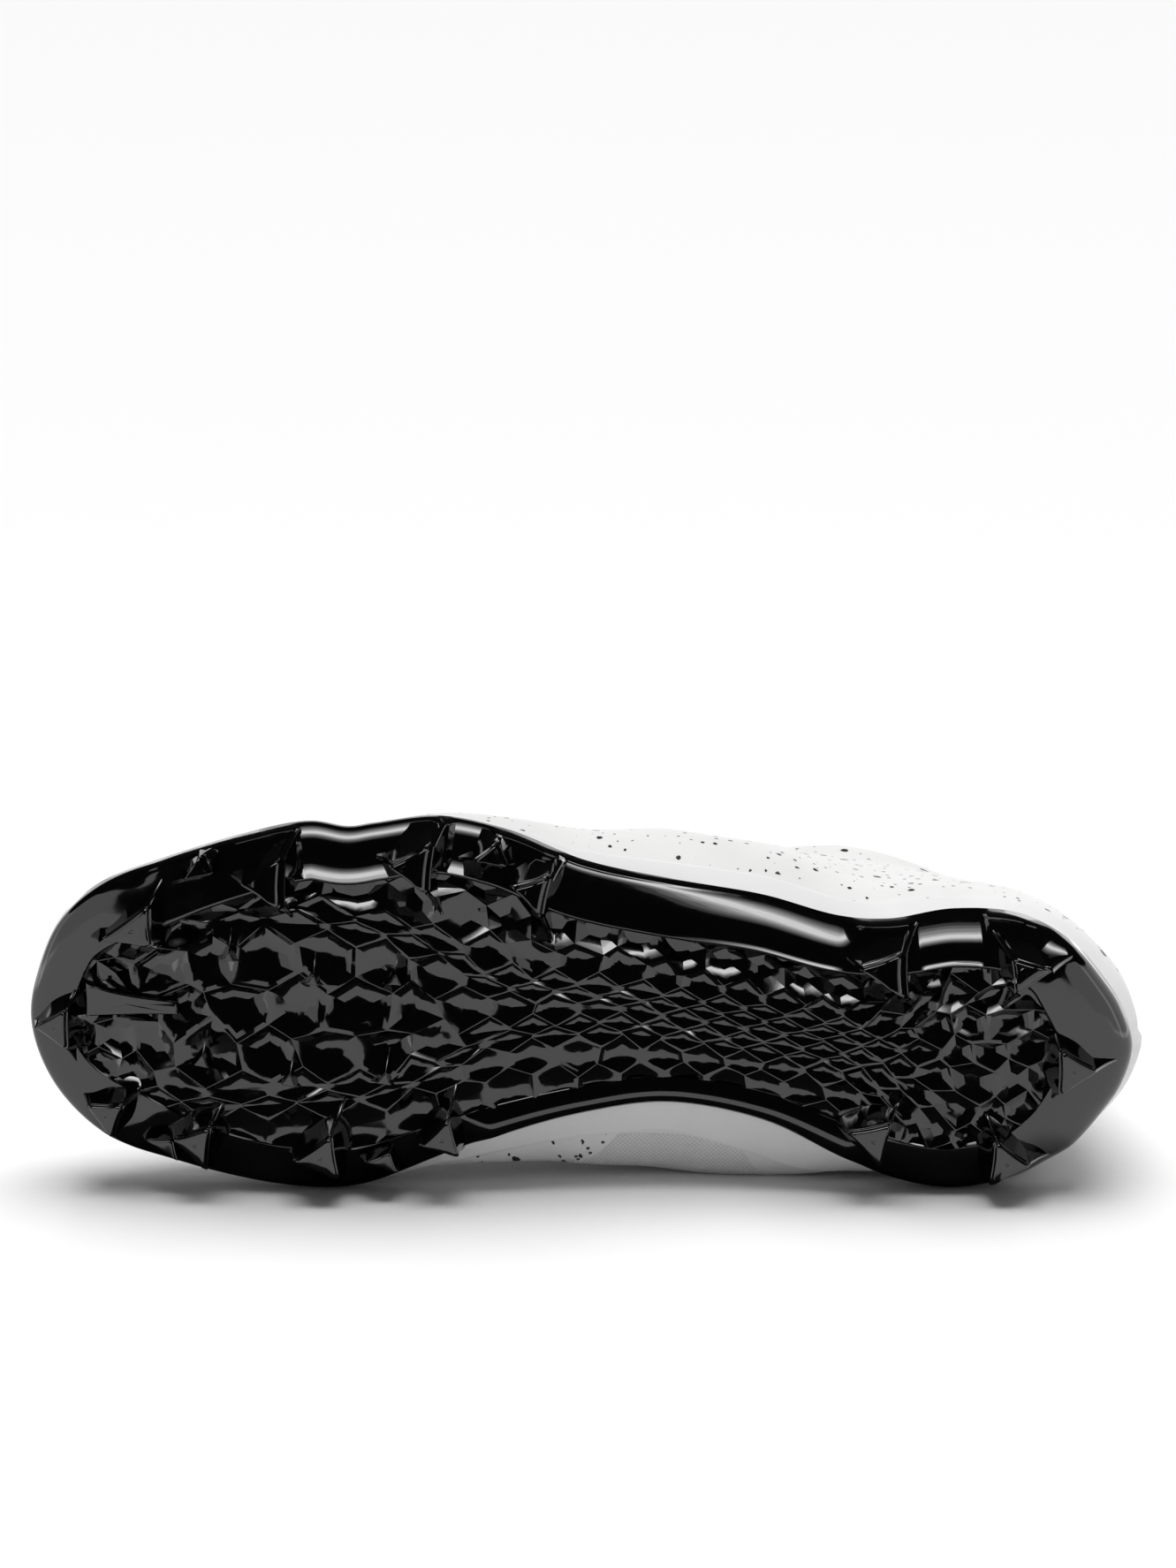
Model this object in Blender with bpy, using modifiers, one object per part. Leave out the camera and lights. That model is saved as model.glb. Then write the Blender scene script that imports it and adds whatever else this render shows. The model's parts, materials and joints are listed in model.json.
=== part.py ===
# Football cleat, a left shoe lying on its medial side, in metres with +Z up.
# Every piece is worked out for the shoe standing on its studs, +X to the toe, +Y to the lateral side and
# +Z up, with the studs' ground at zero. One empty then lays the whole shoe on its side.
import math

import bmesh
import bpy
import numpy as np
from mathutils import Matrix, Vector

MM = 0.001

# Driving sizes
CLEARANCE = 0.3 * MM
FOOT_GAP = 0.6 * MM      # between the rim and the shell that leans out over it
PLATE_THICKNESS = 3.0 * MM
RIM_THICKNESS = 1.5 * MM
UPPER_THICKNESS = 2.0 * MM
INSOLE_THICKNESS = 3.5 * MM
TONGUE_THICKNESS = 3.5 * MM
LACE_WIDTH = 6.0 * MM
LACE_THICKNESS = 1.6 * MM
STUD_BURIED = 1.6 * MM
STUD_FLARE = 1.42
STUD_CORNER = 1.2 * MM

RIBS = 34                # ribs on each side of the shoe, from the heel's end to the toe's
SPINE_HEEL = 24.0 * MM   # ends of the line in the middle of the sole that the ribs run in to
SPINE_TOE = 270.0 * MM
AXIS_HEEL = -10.3 * MM    # the opening's own middle line, at the heel and each metre farther forward
AXIS_SLOPE = 0.05
BAND_TURN = (0, 22, 45, 68, 90)         # degrees round the rolled band at the edge of the plate
FOOT_TURN = (58, 74, 90)                # degrees of the same roll that the upper's foot follows
FLOOR_STEPS = (0.0, 0.3, 0.65, 1.0)     # share of the way from that band in to the spine
WALL_STEPS = 10                         # rings up the upper, above the plate's rim
LATERAL_BELLY_AT = 0.22                 # share up the wall where the belly is fullest
MEDIAL_BELLY_AT = 0.12
UNDERLAP = 11.0 * MM                    # tongue under each side of the throat
EYELET_INSET = 6.5 * MM
EYELET_STATIONS = (183, 170, 157, 144, 131, 118)
LACE_STEPS = 11
LACE_GAP = 0.85 * MM                    # laces lie over the bend of the shell with this much room
STRAND_STEP = 0.12 * MM                 # strands that cross lie this much above each other
LACE_SECTION = ((1, 0), (0.75, 1), (-0.75, 1), (-1, 0), (-0.75, -1), (0.75, -1))
TONGUE_GAP = 0.9 * MM                  # a little more room, where the shell bends over the tongue
TONGUE_FRONT = 195.5
TONGUE_STEPS = 10
TONGUE_TOP = (-15.0 * MM, 0.0, 13.0 * MM)
TONGUE_WINGS = (0.58, 0.96, 0.96, 0.58) # how far the leaf reaches under the sides, from front to top
TONGUE_FREE = ((0.4, 0.80), (1.0, 0.76))   # share of the free top, and how much narrower it is there
THROAT_HALF = 0.5                       # share of the way across at which the throat's edge lies

ROLL_LIMIT = math.radians(10)           # the shoe's lying roll is found within this much of square
ROLL_HALVINGS = 40

# The plate's rim, in mm: distance from the heel's end, then how far it reaches to each side
RIM_COLUMNS = ("station", "lateral", "medial")
RIM = (
    (0, -7.0, -7.0),
    (3, 3.0, -17.5),
    (8, 11.0, -24.5),
    (17, 21.3, -34.0),
    (30, 28.5, -42.0),
    (48, 30.0, -45.3),
    (65, 27.3, -42.0),
    (78, 28.0, -36.0),
    (98, 33.3, -26.5),
    (123, 37.4, -22.0),
    (145, 42.5, -24.6),
    (165, 51.0, -29.8),
    (183, 55.0, -36.5),
    (200, 53.2, -43.3),
    (207, 52.2, -44.9),
    (217, 53.6, -45.3),
    (235, 50.0, -43.3),
    (256, 43.3, -38.3),
    (273, 36.0, -31.0),
    (284, 25.5, -21.0),
    (290, 11.5, -10.0),
    (292, 0.5, 0.5),
)

# The plate from the side, in mm: its underside above the ground, then for each side how high the rolled
# band climbs and how wide it is seen from below
PLATE_COLUMNS = ("station", "underside", "lateral_rise", "medial_rise", "lateral_band", "medial_band")
PLATE = (
    (0, 16.0, 11.0, 11.0, 10.0, 10.0),
    (18, 12.2, 11.0, 11.0, 11.5, 11.5),
    (45, 11.0, 11.0, 11.0, 13.0, 13.0),
    (72, 12.0, 10.0, 9.0, 12.0, 11.0),
    (100, 15.0, 9.0, 6.5, 10.5, 8.0),
    (125, 16.5, 9.0, 6.0, 10.5, 7.5),
    (150, 15.0, 9.0, 7.0, 11.5, 8.0),
    (177, 12.0, 9.5, 9.0, 13.0, 10.0),
    (205, 11.0, 10.0, 10.0, 13.0, 12.0),
    (225, 11.8, 10.0, 10.0, 13.5, 12.5),
    (248, 14.5, 10.5, 10.5, 14.5, 13.5),
    (270, 19.0, 10.5, 10.5, 16.0, 16.0),
    (292, 25.0, 10.0, 10.0, 18.0, 18.0),
)

# The upper, a row for each rib: the rib's share of the way round from heel to toe, then in mm where it ends
# at the opening's edge and how far each side's belly stands out. Ramp is how straight the rib climbs, and
# turn is how many degrees it bends over on its way up.
UPPER_COLUMNS = ("share", "top_station", "top_half", "top_height", "lateral_belly", "medial_belly", "ramp", "turn")
UPPER = (
    (0.00, 8.0, 0.0, 113.0, 5.5, 5.5, 0.0, 55),
    (0.05, 11.0, 9.0, 113.0, 5.5, 5.5, 0.0, 55),
    (0.10, 20.0, 16.5, 111.5, 4.0, 4.0, 0.0, 55),
    (0.18, 43.0, 27.0, 108.5, 3.5, 1.5, 0.0, 50),
    (0.25, 66.0, 35.5, 107.5, 7.0, 2.0, 0.0, 45),
    (0.32, 88.0, 34.5, 109.0, 10.0, 13.0, 0.0, 45),
    (0.38, 105.0, 27.5, 111.0, 11.0, 20.0, 0.0, 48),
    (0.43, 117.0, 21.0, 112.0, 11.0, 21.0, 0.0, 50),
    (0.48, 126.0, 17.5, 107.0, 8.0, 19.5, 0.05, 55),
    (0.55, 140.0, 15.5, 98.5, 3.5, 14.5, 0.12, 62),
    (0.65, 160.0, 13.5, 87.0, 1.5, 4.0, 0.28, 72),
    (0.75, 176.0, 12.0, 78.5, 1.5, 1.2, 0.34, 78),
    (0.85, 188.0, 10.0, 72.5, 1.5, 1.2, 0.35, 82),
    (0.93, 194.5, 6.0, 69.8, 1.5, 1.5, 0.35, 86),
    (1.00, 197.0, 0.0, 69.0, 1.5, 1.5, 0.35, 88),
)

# Studs moulded on the plate, in mm: middle of the tip, the tip's size from its middle to a corner, the way
# one corner points in degrees from the toe, and how far the tip stands below the plate
STUD_COLUMNS = ("name", "station", "side", "reach", "point", "height")
STUDS = (
    ("toe", 283, -1.0, 5.5, 0, 9.0),
    ("lateral_toe", 264, 27.6, 5.2, 100, 10.0),
    ("lateral_toe_fin", 246, 40.5, 3.8, -18, 7.0),
    ("lateral_ball_front", 227, 40.0, 7.0, -2, 11.0),
    ("lateral_ball_rear", 186, 43.0, 6.6, 6, 11.0),
    ("lateral_ball_fin", 168.5, 46.0, 3.6, -13, 7.0),
    ("lateral_waist", 155, 37.5, 6.2, 14, 11.0),
    ("medial_toe", 271, -22.5, 5.2, 30, 10.0),
    ("medial_toe_rear", 245, -29.5, 5.8, 15, 11.0),
    ("medial_ball_front", 215, -33.0, 6.4, 0, 11.0),
    ("medial_ball_fin", 198, -34.0, 3.6, 0, 7.0),
    ("medial_ball_rear", 182, -26.5, 5.6, -5, 11.0),
    ("heel_lateral_front", 65, 16.5, 6.8, 9, 11.0),
    ("heel_lateral_rear", 30, 16.5, 6.6, 180, 11.0),
    ("heel_medial_front", 70, -27.5, 6.5, 15, 11.0),
    ("heel_medial_rear", 34, -33.0, 6.8, 190, 11.0),
    ("heel_end", 17, -10.5, 6.2, 174, 11.0),
)

# Photographed colours with the surface of each material
MATERIALS = {
    "black_plate": ((0.012, 0.012, 0.013, 1.0), 0.16),
    "white_upper": ((0.80, 0.80, 0.80, 1.0), 0.55),
    "white_tongue": ((0.74, 0.74, 0.74, 1.0), 0.80),
    "white_lace": ((0.78, 0.78, 0.78, 1.0), 0.85),
    "grey_insole": ((0.30, 0.30, 0.31, 1.0), 0.90),
}


def smooth_curve(knots, values, at):
    # smooth line through the values at their knots, evenly bent on both sides of each knot
    knots = np.asarray(knots, float)
    values = np.asarray(values, float)
    slopes = np.gradient(values, knots, axis=0)
    at = np.clip(at, knots[0], knots[-1])
    low = np.clip(np.searchsorted(knots, at, side="right") - 1, 0, len(knots) - 2)
    span = knots[low + 1] - knots[low]
    t = (at - knots[low]) / span
    if values.ndim > 1:
        t = t[:, None]
        span = span[:, None]
    start = (1 + 2 * t) * (1 - t) ** 2 * values[low] + t * (1 - t) ** 2 * span * slopes[low]
    end = t * t * (3 - 2 * t) * values[low + 1] + t * t * (t - 1) * span * slopes[low + 1]
    return start + end


def table_column(rows, columns, name):
    return np.array([row[columns.index(name)] for row in rows], float)


def plate_size(name, station):
    stations = table_column(PLATE, PLATE_COLUMNS, "station") * MM
    return smooth_curve(stations, table_column(PLATE, PLATE_COLUMNS, name) * MM, station)


def upper_size(name, share):
    return smooth_curve(table_column(UPPER, UPPER_COLUMNS, "share"), table_column(UPPER, UPPER_COLUMNS, name), share)


def rim_sides(count=600):
    # the rim of each side from heel to toe, evenly spaced along the edge, with outward normals
    station, lateral, medial = (table_column(RIM, RIM_COLUMNS, name) * MM for name in RIM_COLUMNS)
    loop = np.concatenate([np.stack([station, lateral], 1), np.stack([station, medial], 1)[-2:0:-1]])
    wrap = 3
    ring = np.concatenate([loop[-wrap:], loop, loop[:wrap + 1]])
    steps = np.linalg.norm(np.diff(ring, axis=0), axis=1)
    knots = np.concatenate([[0.0], np.cumsum(np.sqrt(steps))])
    heel_start, toe, heel_end = knots[wrap], knots[wrap + len(station) - 1], knots[wrap + len(loop)]
    sides = {}
    for side, first, last in ((1, heel_start, toe), (-1, heel_end, toe)):
        line = smooth_curve(knots, ring, np.linspace(first, last, count))
        length = np.concatenate([[0.0], np.cumsum(np.linalg.norm(np.diff(line, axis=0), axis=1))])
        share = np.linspace(0.0, 1.0, count)
        line = np.stack([np.interp(share, length / length[-1], line[:, axis]) for axis in (0, 1)], 1)
        along = np.gradient(line, axis=0)
        outward = np.stack([-along[:, 1], along[:, 0]], 1) * side
        outward[0] = (-1.0, 0.0)
        outward[-1] = (1.0, 0.0)
        sides[side] = (share, line, outward / np.linalg.norm(outward, axis=1)[:, None])
    return sides


RIM_SIDES = rim_sides()


def rib_feet(share, side):
    # rim point, outward normal, band width and band rise of ribs on either side
    share = np.asarray(share, float)
    side = np.broadcast_to(np.asarray(side, float), share.shape)
    rim = np.zeros(share.shape + (2,))
    outward = np.zeros(share.shape + (2,))
    for which, (shares, line, normal) in RIM_SIDES.items():
        chosen = side == which
        for axis in (0, 1):
            rim[chosen, axis] = np.interp(share[chosen], shares, line[:, axis])
            outward[chosen, axis] = np.interp(share[chosen], shares, normal[:, axis])
    outward /= np.linalg.norm(outward, axis=1)[:, None]
    lateral = side > 0
    band = np.where(lateral, plate_size("lateral_band", rim[:, 0]), plate_size("medial_band", rim[:, 0]))
    rise = np.where(lateral, plate_size("lateral_rise", rim[:, 0]), plate_size("medial_rise", rim[:, 0]))
    return rim, outward, band, rise


def band_ring(share, side, degrees, inset, lift):
    # the rolled edge of the plate, so far inside the rim and above the underside
    rim, outward, band, rise = rib_feet(share, side)
    angle = math.radians(degrees)
    reach = (band - inset) * math.sin(angle) - band
    flat = rim + outward * reach[:, None]
    height = plate_size("underside", flat[:, 0]) + lift + (rise - lift) * (1 - math.cos(angle))
    return np.column_stack([flat, height])


def floor_ring(share, side, step, lift):
    # a ring of the plate's floor between the rolled edge and the spine
    start = band_ring(share, side, 0, 0.0, 0.0)[:, :2]
    station = SPINE_HEEL + (SPINE_TOE - SPINE_HEEL) * np.asarray(share)
    spine = np.stack([station, AXIS_HEEL + AXIS_SLOPE * station], 1)
    flat = start + (spine - start) * step
    return np.column_stack([flat, plate_size("underside", flat[:, 0]) + lift])


def wall_point(share, side, up):
    # the upper's outer face, from the plate's rim at up = 0 to the opening's edge at up = 1
    share = np.asarray(share, float)
    side = np.broadcast_to(np.asarray(side, float), share.shape)
    up = np.broadcast_to(np.asarray(up, float), share.shape)
    outward = rib_feet(share, side)[1]
    foot = band_ring(share, side, 90, RIM_THICKNESS + FOOT_GAP, PLATE_THICKNESS + CLEARANCE)
    station = upper_size("top_station", share) * MM
    half = upper_size("top_half", share) * MM
    edge = np.stack([station, AXIS_HEEL + AXIS_SLOPE * station + side * half], 1)
    turn = np.radians(upper_size("turn", share))
    inward = (1 - np.cos(up * turn)) / (1 - np.cos(turn))
    ramp = upper_size("ramp", share)
    climb = (1 - ramp) * np.sin(up * turn) / np.sin(turn) + ramp * inward
    full_at = np.where(side > 0, LATERAL_BELLY_AT, MEDIAL_BELLY_AT)
    fill = np.sin(np.clip(up / full_at, 0, 1) * math.pi / 2)
    fade = np.cos(np.clip((up - full_at) / (1 - full_at), 0, 1) * math.pi / 2) ** 2
    belly = np.where(side > 0, upper_size("lateral_belly", share), upper_size("medial_belly", share)) * MM
    flat = foot[:, :2] + (edge - foot[:, :2]) * inward[:, None]
    flat = flat + outward * (belly * np.where(up < full_at, fill, fade))[:, None]
    return np.column_stack([flat, foot[:, 2] + (upper_size("top_height", share) * MM - foot[:, 2]) * climb])


def share_at_top(station):
    # share of the rib that ends at this station of the opening's edge
    shares = np.linspace(0.0, 1.0, 800)
    return np.interp(station, upper_size("top_station", shares), shares)


def instep_base(station, across):
    # the instep from the lateral side (across = 1) over the throat to the medial side (across = -1)
    station = np.atleast_1d(np.asarray(station, float))
    across = np.atleast_1d(np.asarray(across, float))
    share = share_at_top(station)
    points = np.zeros((len(station), 3))
    ends = {}
    for side in (1, -1):
        edge = wall_point(share, side, np.ones_like(share))
        below = wall_point(share, side, np.full_like(share, 0.94))
        slope = edge - below
        slope /= np.linalg.norm(slope, axis=1)[:, None]
        near = wall_point(share, side, np.full_like(share, 0.9))
        length = np.linalg.norm(edge - near, axis=1) / 0.1
        ends[side] = (edge, slope)
        beyond = np.clip((across * side - THROAT_HALF) / (1 - THROAT_HALF), 0, 1)
        on_wall = across * side >= THROAT_HALF
        wall = wall_point(share, side, 1 - beyond * UNDERLAP / length)
        points[on_wall] = wall[on_wall]
    t = np.clip((THROAT_HALF - across) / (2 * THROAT_HALF), 0, 1)[:, None]
    first, first_slope = ends[1]
    last, last_slope = ends[-1]
    pull = np.linalg.norm(last - first, axis=1)[:, None] * 0.36
    bridge = (1 - t) ** 3 * first + 3 * (1 - t) ** 2 * t * (first + first_slope * pull)
    bridge = bridge + 3 * (1 - t) * t ** 2 * (last + last_slope * pull) + t ** 3 * last
    over = np.abs(across) < THROAT_HALF
    points[over] = bridge[over]
    return points


def instep_point(station, across, lift):
    # a point so far above the instep, or below it where the lift is negative
    station = np.atleast_1d(np.asarray(station, float))
    across = np.atleast_1d(np.asarray(across, float))
    along = instep_base(station + 1.0, across) - instep_base(station - 1.0, across)
    side = instep_base(station, np.clip(across + 0.03, -1, 1)) - instep_base(station, np.clip(across - 0.03, -1, 1))
    normal = np.cross(along, side)
    normal /= np.linalg.norm(normal, axis=1)[:, None]
    return instep_base(station, across) + normal * np.asarray(lift)


def loop_ribs():
    # every rib in one loop: heel's end, lateral side, toe's end, medial side
    share = np.concatenate([np.arange(RIBS + 1), np.arange(RIBS - 1, 0, -1)]) / RIBS
    side = np.concatenate([np.ones(RIBS + 1), -np.ones(RIBS - 1)])
    return share, side


def skin(rings, closed=True):
    # faces between rings of points that follow each other
    shape = bmesh.new()
    rows = [[shape.verts.new(Vector(point)) for point in ring] for ring in rings]
    count = len(rows[0])
    for low, high in zip(rows, rows[1:]):
        for i in range(count if closed else count - 1):
            j = (i + 1) % count
            shape.faces.new((low[i], low[j], high[j], high[i]))
    return shape


def add_object(shape, name, material_name, group):
    bmesh.ops.recalc_face_normals(shape, faces=shape.faces)
    mesh = bpy.data.meshes.new(name)
    shape.to_mesh(mesh)
    shape.free()
    thing = bpy.data.objects.new(name, mesh)
    group.objects.link(thing)
    if material_name:
        mesh.materials.append(make_material(material_name))
    return thing


def make_material(name):
    colour, roughness = MATERIALS[name]
    material = bpy.data.materials.new(name)
    material.use_nodes = True
    shader = material.node_tree.nodes["Principled BSDF"]
    shader.inputs["Base Color"].default_value = colour
    shader.inputs["Roughness"].default_value = roughness
    shader.inputs["Metallic"].default_value = 0.0
    return material


def outsole_shape():
    # underside from the spine out to the rim, over the rim, and the tray inside it back to the spine
    share, side = loop_ribs()
    rings = [floor_ring(share, side, step, 0.0) for step in FLOOR_STEPS[:0:-1]]
    rings += [band_ring(share, side, turn, 0.0, 0.0) for turn in BAND_TURN]
    rings += [band_ring(share, side, turn, RIM_THICKNESS, PLATE_THICKNESS) for turn in BAND_TURN[::-1]]
    rings += [floor_ring(share, side, step, PLATE_THICKNESS) for step in FLOOR_STEPS[1:]]
    shape = skin(rings)
    bmesh.ops.remove_doubles(shape, verts=shape.verts, dist=0.00005)
    return shape


def stud_frames():
    # name, middle of the root, downward axis, sizes and turn of each stud
    frames = []
    for name, station, side, reach, point, height in STUDS:
        at = np.array([station - 1.0, station, station + 1.0]) * MM
        before, middle, after = plate_size("underside", at)
        up = Vector((-(after - before) / (2 * MM), 0.0, 1.0)).normalized()
        root = Vector((station * MM, side * MM, middle))
        frames.append((name, root, up, reach * MM, math.radians(point), height * MM))
    return frames


def studs_shape():
    # three-sided studs with flared flanks and rounded corners, all in one shape
    studs = bmesh.new()
    for name, root, up, reach, point, height in stud_frames():
        stud = bmesh.new()
        bmesh.ops.create_cone(
            stud, cap_ends=True, segments=3, radius1=reach, radius2=reach * STUD_FLARE, depth=height + STUD_BURIED
        )
        corners = [edge for edge in stud.edges if abs(edge.verts[0].co.z - edge.verts[1].co.z) > 0.5 * height]
        bmesh.ops.bevel(stud, geom=corners, offset=STUD_CORNER, segments=2, profile=0.5, affect="EDGES")
        # a plain three-sided cone has its first corner toward +Y
        lean = Vector((0.0, 0.0, 1.0)).rotation_difference(up).to_matrix().to_4x4()
        turned = Matrix.Rotation(point - math.pi / 2, 4, "Z")
        lowered = Matrix.Translation(Vector((0.0, 0.0, (STUD_BURIED - height) / 2)))
        bmesh.ops.transform(stud, matrix=Matrix.Translation(root) @ lean @ lowered @ turned, verts=stud.verts)
        scratch = bpy.data.meshes.new(name)
        stud.to_mesh(scratch)
        studs.from_mesh(scratch)
        stud.free()
        bpy.data.meshes.remove(scratch)
    return studs


def upper_shape():
    # outer face of the upper from its foot inside the plate's rim to the opening's edge
    share, side = loop_ribs()
    rings = []
    for turn in FOOT_TURN:
        rings.append(band_ring(share, side, turn, RIM_THICKNESS + FOOT_GAP, PLATE_THICKNESS + CLEARANCE))
    for step in range(1, WALL_STEPS + 1):
        rings.append(wall_point(share, side, (step / WALL_STEPS) ** 1.25))
    return skin(rings)


def insole_shape():
    share, side = loop_ribs()
    low = PLATE_THICKNESS + CLEARANCE
    rings = [floor_ring(share, side, step, low) for step in FLOOR_STEPS[::-2]]
    rings += [floor_ring(share, side, step, low + INSOLE_THICKNESS) for step in FLOOR_STEPS[1::2]]
    shape = skin(rings)
    bmesh.ops.remove_doubles(shape, verts=shape.verts, dist=0.00005)
    return shape


def tongue_shape():
    # a curved leaf under both sides of the throat, standing free above the top eyelets
    stations = np.linspace(TONGUE_FRONT, EYELET_STATIONS[-1], TONGUE_STEPS)
    wings = np.interp(np.linspace(0, 1, TONGUE_STEPS), np.linspace(0, 1, len(TONGUE_WINGS)), TONGUE_WINGS)
    depths = (-UPPER_THICKNESS - TONGUE_GAP, -UPPER_THICKNESS - TONGUE_GAP - TONGUE_THICKNESS)
    faces = []
    for depth in depths:
        rows = []
        for station, wing in zip(stations, wings):
            across = np.concatenate([
                np.linspace(wing, THROAT_HALF, 4, endpoint=False),
                np.linspace(THROAT_HALF, -THROAT_HALF, 7),
                np.linspace(-THROAT_HALF, -wing, 5)[1:],
            ])
            rows.append(instep_point(np.full_like(across, station), across, depth))
        middle = AXIS_HEEL + AXIS_SLOPE * EYELET_STATIONS[-1] * MM
        for rise, squeeze in TONGUE_FREE:
            row = rows[TONGUE_STEPS - 1] + np.array(TONGUE_TOP) * rise
            row[:, 1] = middle + (row[:, 1] - middle) * squeeze
            rows.append(row)
        faces.append(rows)
    rings = [np.concatenate([outer, inner[::-1]]) for outer, inner in zip(*faces)]
    shape = skin(rings)
    shape.verts.ensure_lookup_table()
    count = len(rings[0])
    for first in (0, len(rings) - 1):
        row = [shape.verts[first * count + i] for i in range(count)]
        for i in range(count // 2 - 1):
            shape.faces.new((row[i], row[i + 1], row[count - 2 - i], row[count - 1 - i]))
    return shape


def strand_shape(first, last, raised):
    # one flat strand of lace lying over the instep between two eyelets, given as (station, across)
    steps = np.linspace(0.0, 1.0, LACE_STEPS)
    station = first[0] + (last[0] - first[0]) * steps
    across = first[1] + (last[1] - first[1]) * steps
    lift = LACE_GAP + LACE_THICKNESS / 2 + raised
    middle = instep_point(station, across, lift)
    up = instep_point(station, across, lift + MM) - middle
    up /= np.linalg.norm(up, axis=1)[:, None]
    along = np.gradient(middle, axis=0)
    beside = np.cross(up, along)
    beside /= np.linalg.norm(beside, axis=1)[:, None]
    rings = []
    for point, aside, above in zip(middle, beside * LACE_WIDTH / 2, up * LACE_THICKNESS / 2):
        rings.append([point + aside * wide + above * high for wide, high in LACE_SECTION])
    shape = skin(rings)
    shape.verts.ensure_lookup_table()
    count = len(LACE_SECTION)
    shape.faces.new([shape.verts[i] for i in range(count)])
    shape.faces.new([shape.verts[i] for i in range(len(shape.verts) - count, len(shape.verts))])
    return shape


def lace_shapes():
    # strands that climb from the lateral side, strands that climb from the medial side, and the bottom bar
    seat = THROAT_HALF + (1 - THROAT_HALF) * EYELET_INSET / UNDERLAP
    pairs = list(zip(EYELET_STATIONS, EYELET_STATIONS[1:]))
    climbs = []
    for side, raised in ((1, 0.0), (-1, 2 * STRAND_STEP)):
        family = bmesh.new()
        for low, high in pairs:
            strand = strand_shape((low, seat * side), (high, -seat * side), raised)
            scratch = bpy.data.meshes.new("strand")
            strand.to_mesh(scratch)
            family.from_mesh(scratch)
            strand.free()
            bpy.data.meshes.remove(scratch)
        climbs.append(family)
    bar = strand_shape((EYELET_STATIONS[0], seat), (EYELET_STATIONS[0], -seat), STRAND_STEP)
    return climbs[0], climbs[1], bar


def join_helper(thing, shape, name, group):
    # the shape becomes part of the thing
    helper = add_object(shape, name, None, group)
    helper.hide_render = True
    helper.display_type = "WIRE"
    join = thing.modifiers.new(name, "BOOLEAN")
    join.operation = "UNION"
    join.solver = "EXACT"
    join.object = helper
    return helper


def lay_on_side(things, sole, shell):
    # toe to -X, sole to -Y, lateral side up, rolled until sole edge and shell both touch the floor
    lying = Matrix(((-1, 0, 0, 0), (0, 0, 1, 0), (0, 1, 0, 0), (0, 0, 0, 1)))

    def lowest(thing, roll):
        turned = Matrix.Rotation(roll, 4, "X") @ lying
        return min((turned @ vertex.co).z for vertex in thing.data.vertices)

    low, high = -ROLL_LIMIT, ROLL_LIMIT
    for _ in range(ROLL_HALVINGS):
        middle = (low + high) / 2
        if lowest(sole, middle) < lowest(shell, middle):
            high = middle
        else:
            low = middle
    turned = Matrix.Rotation(low, 4, "X") @ lying
    corners = np.array([turned @ vertex.co for thing in things for vertex in thing.data.vertices])
    least, most = corners.min(axis=0), corners.max(axis=0)
    shift = Matrix.Translation(Vector((-(least[0] + most[0]) / 2, -(least[1] + most[1]) / 2, -least[2])))
    placed = bpy.data.objects.new("lying_shoe", None)
    bpy.context.scene.collection.objects.link(placed)
    placed.matrix_world = shift @ turned
    for thing in things:
        thing.parent = placed


def build():
    for thing in list(bpy.data.objects):
        bpy.data.objects.remove(thing, do_unlink=True)
    cleat = bpy.data.collections.new("football_cleat")
    helpers = bpy.data.collections.new("helpers")
    bpy.context.scene.collection.children.link(cleat)
    bpy.context.scene.collection.children.link(helpers)

    outsole = add_object(outsole_shape(), "outsole", "black_plate", cleat)
    studs = join_helper(outsole, studs_shape(), "stud_helper", helpers)
    upper = add_object(upper_shape(), "upper", "white_upper", cleat)
    wall = upper.modifiers.new("wall", "SOLIDIFY")
    wall.thickness = UPPER_THICKNESS
    wall.offset = -1.0
    insole = add_object(insole_shape(), "insole", "grey_insole", cleat)
    tongue = add_object(tongue_shape(), "tongue", "white_tongue", cleat)
    lateral_climb, medial_climb, bar = lace_shapes()
    laces = add_object(lateral_climb, "laces", "white_lace", cleat)
    medial_strands = join_helper(laces, medial_climb, "medial_strand_helper", helpers)
    bottom_bar = join_helper(laces, bar, "bottom_bar_helper", helpers)
    pieces = [outsole, upper, insole, tongue, laces, studs, medial_strands, bottom_bar]
    lay_on_side(pieces, outsole, upper)


build()
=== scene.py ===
import json
import math

import bmesh
import bpy
import numpy as np
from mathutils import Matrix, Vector, kdtree


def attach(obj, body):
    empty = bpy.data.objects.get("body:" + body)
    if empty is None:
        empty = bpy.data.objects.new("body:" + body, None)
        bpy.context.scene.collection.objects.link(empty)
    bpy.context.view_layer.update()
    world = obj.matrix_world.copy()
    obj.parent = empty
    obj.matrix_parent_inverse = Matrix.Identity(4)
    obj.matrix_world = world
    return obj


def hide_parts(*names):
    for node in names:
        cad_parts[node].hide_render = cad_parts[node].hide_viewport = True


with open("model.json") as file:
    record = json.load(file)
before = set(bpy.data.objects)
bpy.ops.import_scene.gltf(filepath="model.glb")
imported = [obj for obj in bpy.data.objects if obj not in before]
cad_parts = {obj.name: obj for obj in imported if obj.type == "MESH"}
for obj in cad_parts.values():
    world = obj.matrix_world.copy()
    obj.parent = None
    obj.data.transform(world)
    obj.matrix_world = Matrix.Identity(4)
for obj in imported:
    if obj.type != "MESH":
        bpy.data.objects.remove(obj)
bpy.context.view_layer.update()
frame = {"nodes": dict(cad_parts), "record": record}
chance = np.random.default_rng(11)
mm = 0.001
print("frame loaded:", ", ".join(sorted(frame["nodes"])))


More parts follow.
